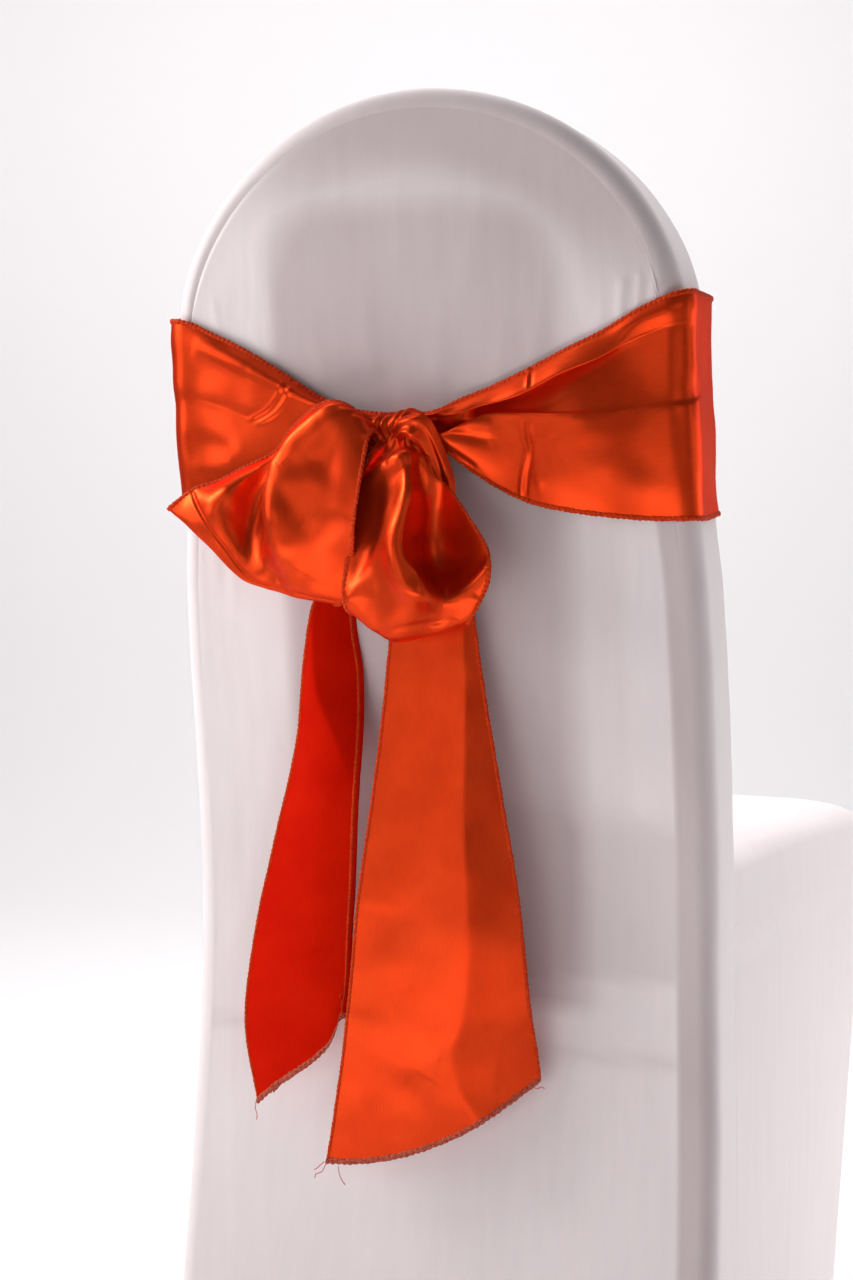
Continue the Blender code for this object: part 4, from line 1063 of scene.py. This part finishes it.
def knit_group():
    """Fine stretch knit: columns of stitches up the cloth, streaks along them, soft blotches."""
    group, given, put = new_group("stretch_knit", [("Vector", "NodeSocketVector", None)],
                                  ("Height", "Streak", "Blotch"))
    vector = given.outputs["Vector"]
    ribs = noise(group, vector, 900.0, 2.0, (1.0, 1.0, 0.10))
    fine = noise(group, vector, 260.0, 3.0, (1.0, 1.0, 0.06))
    weave = noise(group, vector, 1500.0, 1.0)
    height = math(group, "MULTIPLY_ADD", weave, 0.3, math(group, "MULTIPLY", ribs, 0.5))
    height = math(group, "MULTIPLY_ADD", fine, 0.6, height)
    group.links.new(height, put.inputs["Height"])
    group.links.new(noise(group, vector, 120.0, 4.0, (1.0, 1.0, 0.08)), put.inputs["Streak"])
    group.links.new(noise(group, vector, 9.0, 3.0), put.inputs["Blotch"])
    return group


def satin_group():
    """Satin weave: long shining floats across the cloth, slubs along them and soft blotches."""
    group, given, put = new_group("satin_weave", [("Vector", "NodeSocketVector", None)],
                                  ("Height", "Float", "Blotch"))
    vector = given.outputs["Vector"]
    floats = noise(group, vector, 1400.0, 2.0, (0.08, 1.0, 1.0))
    slub = noise(group, vector, 220.0, 3.0, (0.10, 1.0, 1.0))
    height = math(group, "MULTIPLY_ADD", slub, 0.4, math(group, "MULTIPLY", floats, 0.6))
    group.links.new(height, put.inputs["Height"])
    group.links.new(floats, put.inputs["Float"])
    group.links.new(noise(group, vector, 30.0, 4.0), put.inputs["Blotch"])
    return group


def ramp(tree, factor, stops):
    """Colour ramp from a factor, through named stops."""
    node = tree.nodes.new("ShaderNodeValToRGB")
    elements = node.color_ramp.elements
    while len(elements) < len(stops):
        elements.new(0.5)
    for element, (at, colour) in zip(elements, stops):
        element.position = at
        element.color = (*colour, 1.0)
    tree.links.new(factor, node.inputs["Fac"])
    return node.outputs["Color"]


def bump(tree, height, strength, distance):
    """Bump from a height."""
    node = tree.nodes.new("ShaderNodeBump")
    node.inputs["Strength"].default_value = strength
    node.inputs["Distance"].default_value = distance
    tree.links.new(height, node.inputs["Height"])
    return node.outputs["Normal"]


def mix(tree, factor, first, second, kind="MIX"):
    """Mix of two colours, each a socket or a plain colour."""
    node = tree.nodes.new("ShaderNodeMix")
    node.data_type = "RGBA"
    node.blend_type = kind
    sockets = node.inputs["Factor"], node.inputs[6], node.inputs[7]
    for socket, value in zip(sockets, (factor, first, second)):
        if isinstance(value, bpy.types.NodeSocket):
            tree.links.new(value, socket)
        else:
            socket.default_value = value if isinstance(value, float) else (*value, 1.0)
    return node.outputs[2]


def start_material(name):
    """New node material: its tree and its Principled shader."""
    material = bpy.data.materials.new(name)
    material.use_nodes = True
    return material, material.node_tree, material.node_tree.nodes["Principled BSDF"]


def stretch_cloth(group):
    """White stretch cloth, greyer where the dark chair back shows through it and where shade is painted
    on: the top of the arch and the right rear edge.
    """
    material, tree, shader = start_material("white_stretch_knit")
    place = tree.nodes.new("ShaderNodeTexCoord").outputs["Object"]
    knit = tree.nodes.new("ShaderNodeGroup")
    knit.node_tree = group
    tree.links.new(place, knit.inputs["Vector"])
    # the greying attribute holds both the show-through and the painted shade
    show_through_and_shade = tree.nodes.new("ShaderNodeAttribute")
    show_through_and_shade.attribute_name = "show_through_and_shade"
    patchy = math(tree, "MULTIPLY_ADD", knit.outputs["Blotch"], 0.5, 0.75)
    dark = math(tree, "MULTIPLY", show_through_and_shade.outputs["Fac"], patchy)
    colour = mix(tree, dark, COVER_LIGHT, COVER_DARK)
    streak = math(tree, "MULTIPLY_ADD", knit.outputs["Streak"], 0.08, 0.96)
    tone = mix(tree, 1.0, colour, grey(tree, streak), "MULTIPLY")
    tree.links.new(tone, shader.inputs["Base Color"])
    tree.links.new(math(tree, "MULTIPLY_ADD", knit.outputs["Streak"], 0.15, 0.62),
                   shader.inputs["Roughness"])
    shader.inputs["Sheen Weight"].default_value = 0.25
    shader.inputs["Sheen Roughness"].default_value = 0.5
    tree.links.new(bump(tree, knit.outputs["Height"], 0.30, 0.0006), shader.inputs["Normal"])
    return material


def grey(tree, value):
    """Grey of a value."""
    node = tree.nodes.new("ShaderNodeCombineColor")
    for k in range(3):
        tree.links.new(value, node.inputs[k])
    return node.outputs[0]


def satin(name, group, colours, roughness, metallic, bend):
    """Satin: colour that varies softly, shine of the floats as roughness and as fine bump."""
    material, tree, shader = start_material(name)
    flat = tree.nodes.new("ShaderNodeTexCoord").outputs["UV"]
    weave = tree.nodes.new("ShaderNodeGroup")
    weave.node_tree = group
    tree.links.new(flat, weave.inputs["Vector"])
    colour = ramp(tree, weave.outputs["Blotch"], ((0.30, colours[0]), (0.70, colours[1])))
    shade = math(tree, "MULTIPLY_ADD", weave.outputs["Float"], 0.25, 0.87)
    tone = mix(tree, 1.0, colour, grey(tree, shade), "MULTIPLY")
    tree.links.new(tone, shader.inputs["Base Color"])
    tree.links.new(math(tree, "MULTIPLY_ADD", weave.outputs["Float"], 0.16, roughness - 0.08),
                   shader.inputs["Roughness"])
    shader.inputs["Metallic"].default_value = metallic
    shader.inputs["Anisotropic"].default_value = 0.35
    shader.inputs["IOR"].default_value = bend
    shader.inputs["Specular Tint"].default_value = SATIN_TINT
    tree.links.new(bump(tree, weave.outputs["Height"], 0.25, 0.0003), shader.inputs["Normal"])
    return material


def thread_material(name, deep, pale):
    """Overlock thread: two tones mottled along the stitches."""
    material, tree, shader = start_material(name)
    place = tree.nodes.new("ShaderNodeTexCoord").outputs["Object"]
    colour = ramp(tree, noise(tree, place, 900.0, 2.0), ((0.35, deep), (0.65, pale)))
    tree.links.new(colour, shader.inputs["Base Color"])
    fuzz = bump(tree, noise(tree, place, 1800.0, 1.0), 0.4, 0.0003)
    tree.links.new(fuzz, shader.inputs["Normal"])
    shader.inputs["Roughness"].default_value = 0.6
    shader.inputs["Specular IOR Level"].default_value = 0.15
    shader.inputs["Specular Tint"].default_value = THREAD_TINT
    return material


# the light colour is the cloth's pale tone, warmed pink partly as painted bounce light from the red
# satin
COVER_LIGHT = (0.885, 0.805, 0.82)
# dark colour, mixed in where the chair back shows through and where shade is painted
COVER_DARK = (0.56, 0.465, 0.48)
SATIN_LIGHT = ((0.66, 0.038, 0.0060), (0.76, 0.052, 0.0085))
SATIN_WRONG = ((0.60, 0.005, 0.0004), (0.68, 0.009, 0.0008))
SATIN_TINT = (1.0, 0.34, 0.10, 1.0)
YARN = ((0.44, 0.024, 0.005), (0.72, 0.060, 0.010))
FRAYED = ((0.32, 0.030, 0.012), (0.58, 0.15, 0.10))
THREAD_TINT = (1.0, 0.30, 0.12, 1.0)
# roughness, metallic share and index of refraction of the shining side and the wrong side
FACE_SHINE = (0.34, 0.76, 1.8)
WRONG_SHINE = (0.55, 0.05, 1.15)


# ---------------------------------------------------------------- build the cover
def build_cover():
    """Seven panels of the cover, each a stretched sheet that stands for its CAD node."""
    cloth = stretch_cloth(knit_group())
    side = np.concatenate([np.linspace(0.0, 1.0, 64), np.linspace(1.0, 1.5, 12)[1:]])
    front = np.concatenate([np.linspace(1.5, 2.0, 12), np.linspace(2.0, 3.0, 48)[1:]])
    side_hem = np.clip(side, 0.0, 1.0)
    front_hem = np.clip(front - 2.0, 0.0, 1.0) / 2.0
    rear, strip, inner, top = (make(cloth) for make in (rear_panel, gusset, inner_panel, seat))
    right = skirt("cover_skirt_right", side, side_hem, False, cloth, 41)
    left = skirt("cover_skirt_left", side, side_hem, False, cloth, 51)
    middle = skirt("cover_skirt_front", front, front_hem, True, cloth, 61)
    panels = (
        (rear, "back_outer", (0.37, 0.98), 0.33),
        (strip, "gusset", (0.080, 2.2), 0.17),
        (inner, "back_inner", (0.36, 0.54), 0.175),
        (top, "seat_top", (0.48, 0.46), 0.19),
        (right, "skirt_right", (0.43, 0.42), 0.16),
        (left, "skirt_left", (0.43, 0.42), 0.16),
        (middle, "skirt_front", (0.45, 0.42), 0.165),
    )
    for piece, node, flat, area in panels:
        ride_and_name(piece, "white_stretch_cloth", node)


# ---------------------------------------------------------------- build the sash
# Serged edges of each: name, place on the grid, then width, thickness and length of stitch
SASH_EDGES = {
    "band": (("top_edge", "last"), ("bottom_edge", "first")),
    "left_loop": (("rim", "last"), ("outer_edge", "first")),
    "right_loop": (("rim", "last"), ("outer_edge", "first")),
    "right_tail": (("left_edge", "first", 0.0026, 0.0006), ("right_edge", "last", 0.0026, 0.0006),
                   ("end", "end", 0.0048, 0.0012, 0.0046)),
    "left_tail": (("left_edge", "first", 0.0024, 0.0006),
                  ("right_edge", SHORT_TAIL_COLUMNS, 0.0022, 0.0007),
                  ("return_edge", "last", 0.0024, 0.0006), ("end", "end", 0.0048, 0.0012, 0.0046)),
}
# Loose thread ends at the corners of the tails: across, stand-off and height, mm
THREAD_ENDS = (
    ("right_tail", ((-60, 40, 252), (-58, 42, 247), (-57, 40, 243), (-55, 38, 239))),
    ("right_tail", ((-74, 34, 252), (-77, 35, 249), (-79, 36, 247), (-81, 35, 246))),
    ("right_tail", ((-72, 35, 251), (-74, 37, 246), (-78, 38, 244), (-79, 38, 241))),
    ("right_tail", ((80, 30, 322), (84, 32, 325), (86, 33, 329), (87, 34, 333))),
    ("right_tail", ((79, 30, 320), (84, 31, 319), (88, 33, 321), (90, 33, 320))),
    ("left_tail", ((-129, 36, 290), (-129, 37, 285), (-127, 38, 281), (-127, 38, 277))),
    ("left_tail", ((-64, 36, 362), (-62, 37, 367), (-63, 38, 371), (-61, 38, 374))),
    ("left_tail", ((-66, 36, 358), (-61, 37, 357), (-59, 38, 359), (-57, 39, 358))),
)


def sash_grids():
    """The five sheets of the sash as grids of points, each fine enough for its folds."""
    return {
        "band": band_grid(560, 80),
        "left_loop": loop_grid(LEFT_LOOP, LEFT_LOOP_CREASES, 6.3, (7, 1.2, 4.4), 240, 120, 71),
        "right_loop": loop_grid(RIGHT_LOOP, RIGHT_LOOP_CREASES, 5.2, (6, 1.2, 5.4), 220, 120, 72),
        "right_tail": tail_grid(TAIL_RIGHT, RIGHT_TAIL_FOLD, RIGHT_TAIL_END, RIGHT_TAIL_CREASES,
                                (5, 4.8), 230, 90, False, 73),
        "left_tail": tail_grid(TAIL_LEFT, LEFT_TAIL_FOLD, LEFT_TAIL_END, LEFT_TAIL_CREASES,
                               (3, 4.0), 180, SHORT_TAIL_COLUMNS, True, 74),
    }


def build_sash():
    """Band, knot, loops and tails of the one length of satin, with serged edges."""
    weave = satin_group()
    face = satin("orange_red_satin_face", weave, SATIN_LIGHT, *FACE_SHINE)
    wrong = satin("orange_red_satin_wrong_side", weave, SATIN_WRONG, *WRONG_SHINE)
    yarn = thread_material("overlock_thread", *YARN)
    frayed = thread_material("frayed_thread", *FRAYED)
    grids = sash_grids()
    knot = add_sheet("sash_knot", knot_grid(130, 56), face, SATIN_THICK, wrap=True)
    fold = placed(fine_grid(KNOT_FOLD, 60, 40))
    fold = add_sheet("sash_knot_fold", fold, face, SATIN_THICK)
    pieces = {}
    for key, grid in grids.items():
        cloth = wrong if key == "left_tail" else face
        pieces[key] = add_sheet(f"sash_{key}", grid, cloth, SATIN_THICK, wrap=key == "band")
    grids["band"] = np.concatenate([grids["band"], grids["band"][:1]])
    trims = {key: [] for key in pieces}
    for key, edges in SASH_EDGES.items():
        for edge, side, *sizes in edges:
            thread_used = frayed if edge == "end" else yarn
            trims[key].append(edge_serging(f"sash_{key}_{edge}", grids[key], side, thread_used,
                                           *sizes))
    for number, (key, points) in enumerate(THREAD_ENDS, start=1):
        trims[key].append(thread(f"sash_thread_end_{number}", points, THREAD_RADIUS, yarn))
    trims["left_loop"] += [knot, fold]
    for key, piece in pieces.items():
        ride_and_name(piece, "orange_red_satin", *(["sash"] if key == "band" else []))
        for trim in trims[key]:
            ride_and_name(trim, "orange_red_satin")


# ---------------------------------------------------------------- floor, light and camera
CAMERA_SPOT = (0.5560, -1.3227, 0.6912)
CAMERA_TURN = (np.pi / 2 - 0.0461, 0.0, 0.3989)
CAMERA_LENS = 57.88
AWAY = np.array([-np.sin(CAMERA_TURN[2]), np.cos(CAMERA_TURN[2]), 0.0])
ASIDE = np.array([np.cos(CAMERA_TURN[2]), np.sin(CAMERA_TURN[2]), 0.0])
UP = np.array([0.0, 0.0, 1.0])
SWEEP_COLOUR = (0.88, 0.865, 0.875, 1.0)
WORLD_COLOUR = (1.0, 0.99, 1.0, 1.0)
WORLD_STRENGTH = 0.14

# Name, metres aside, away and up of the lamp and then of the spot it points at, above the
# floor under the piece; width, height, spread in degrees, power in watts, colour
LIGHTS = (
    ("wall_wash", (0.0, 1.1, 2.5), (0.0, 3.6, 1.0), 4.0, 1.0, 150, 58.0, (1.0, 0.985, 0.99)),
    ("overhead", (0.0, 0.9, 2.4), (0.0, 0.4, 0.0), 2.6, 1.8, 120, 21.0, (1.0, 0.985, 0.99)),
    ("low_front", (-0.35, -0.6, 0.05), (0.0, -0.1, 0.8), 1.4, 0.6, 110, 2.2, (1.0, 0.98, 0.965)),
    ("upper_left", (-1.9, 0.2, 1.8), (0.0, 0.0, 0.7), 0.7, 0.7, 90, 7.0, (1.0, 0.97, 0.95)),
    ("left_side", (-2.40, -0.30, 1.1), (0.0, 0.0, 0.6), 1.2, 1.5, 120, 7.5, (1.0, 0.98, 0.98)),
    ("left_front", (-1.7, -2.1, 0.50), (0.0, 0.0, 0.6), 1.5, 0.9, 120, 2.0, (1.0, 0.97, 0.95)),
    ("right_strip", (2.0, -0.58, 0.8), (0.0, 0.0, 0.7), 0.10, 1.3, 120, 0.8, (1.0, 0.98, 0.97)),
    ("right_fill", (2.6, 1.1, 0.8), (0.0, 0.0, 0.6), 1.2, 1.8, 120, 5.5, (1.0, 0.98, 0.97)),
    ("seat_top", (1.3, 1.2, 1.6), (0.35, 0.5, 0.40), 0.8, 0.8, 50, 0.55, (1.0, 0.985, 0.99)),
    ("front_fill", (0.9, -2.2, 1.0), (0.0, 0.0, 0.6), 1.6, 1.2, 120, 1.6, (1.0, 0.97, 0.95)),
    ("right_low", (2.2, 0.6, 0.25), (0.35, 0.55, 0.10), 1.2, 0.8, 62, 2.3, (1.0, 0.98, 0.97)),
)


def build_studio():
    """Pale sweep that curves up behind, soft lights round the piece, and the camera.

    The sweep is flat, then a quarter circle, then upright.
    """
    run = np.linspace(0.0, 1.0, 60)
    flat_end, radius = 2.4, 1.2
    turn = np.clip((run - 0.5) / 0.3, 0.0, 1.0) * np.pi / 2
    away = -5.0 + (flat_end + 5.0) * np.clip(run / 0.5, 0.0, 1.0) + radius * np.sin(turn)
    up = radius * (1.0 - np.cos(turn)) + 4.0 * np.clip((run - 0.8) / 0.2, 0.0, 1.0)
    side = np.linspace(-6.0, 6.0, 13)[:, None, None]
    grid = (AWAY * away[None, :, None] + ASIDE * side + UP * up[None, :, None])
    material, _, shader = start_material("pale_sweep")
    shader.inputs["Base Color"].default_value = SWEEP_COLOUR
    shader.inputs["Roughness"].default_value = 0.9
    sweep = add_mesh("studio_sweep", grid.reshape(-1, 3), grid_faces(*grid.shape[:2]), material)
    for name, *ends, width, height, spread, power, colour in LIGHTS:
        spot, target = (ASIDE * at[0] + AWAY * at[1] + UP * at[2] - HELD for at in ends)
        lamp = bpy.data.lights.new(name, "AREA")
        lamp.shape = "RECTANGLE"
        lamp.size, lamp.size_y = width, height
        lamp.spread = np.radians(spread)
        lamp.energy = power
        lamp.color = colour
        thing = bpy.data.objects.new(name, lamp)
        thing.location = spot
        thing.rotation_euler = Vector(target - spot).to_track_quat("-Z", "Y").to_euler()
        bpy.context.scene.collection.objects.link(thing)
    world = bpy.data.worlds.new("studio")
    world.use_nodes = True
    sky = world.node_tree.nodes["Background"]
    sky.inputs["Color"].default_value = WORLD_COLOUR
    sky.inputs["Strength"].default_value = WORLD_STRENGTH
    bpy.context.scene.world = world
    eye = bpy.data.cameras.new("camera")
    eye.sensor_fit = "VERTICAL"
    eye.sensor_height = 36.0
    eye.lens = CAMERA_LENS
    camera = bpy.data.objects.new("camera", eye)
    camera.location = Vector(CAMERA_SPOT) - Vector(HELD)
    camera.rotation_euler = CAMERA_TURN
    bpy.context.scene.collection.objects.link(camera)
    bpy.context.scene.camera = camera
    bpy.context.scene.view_settings.view_transform = "Standard"


build_cover()
build_sash()
build_studio()
bpy.context.view_layer.update()
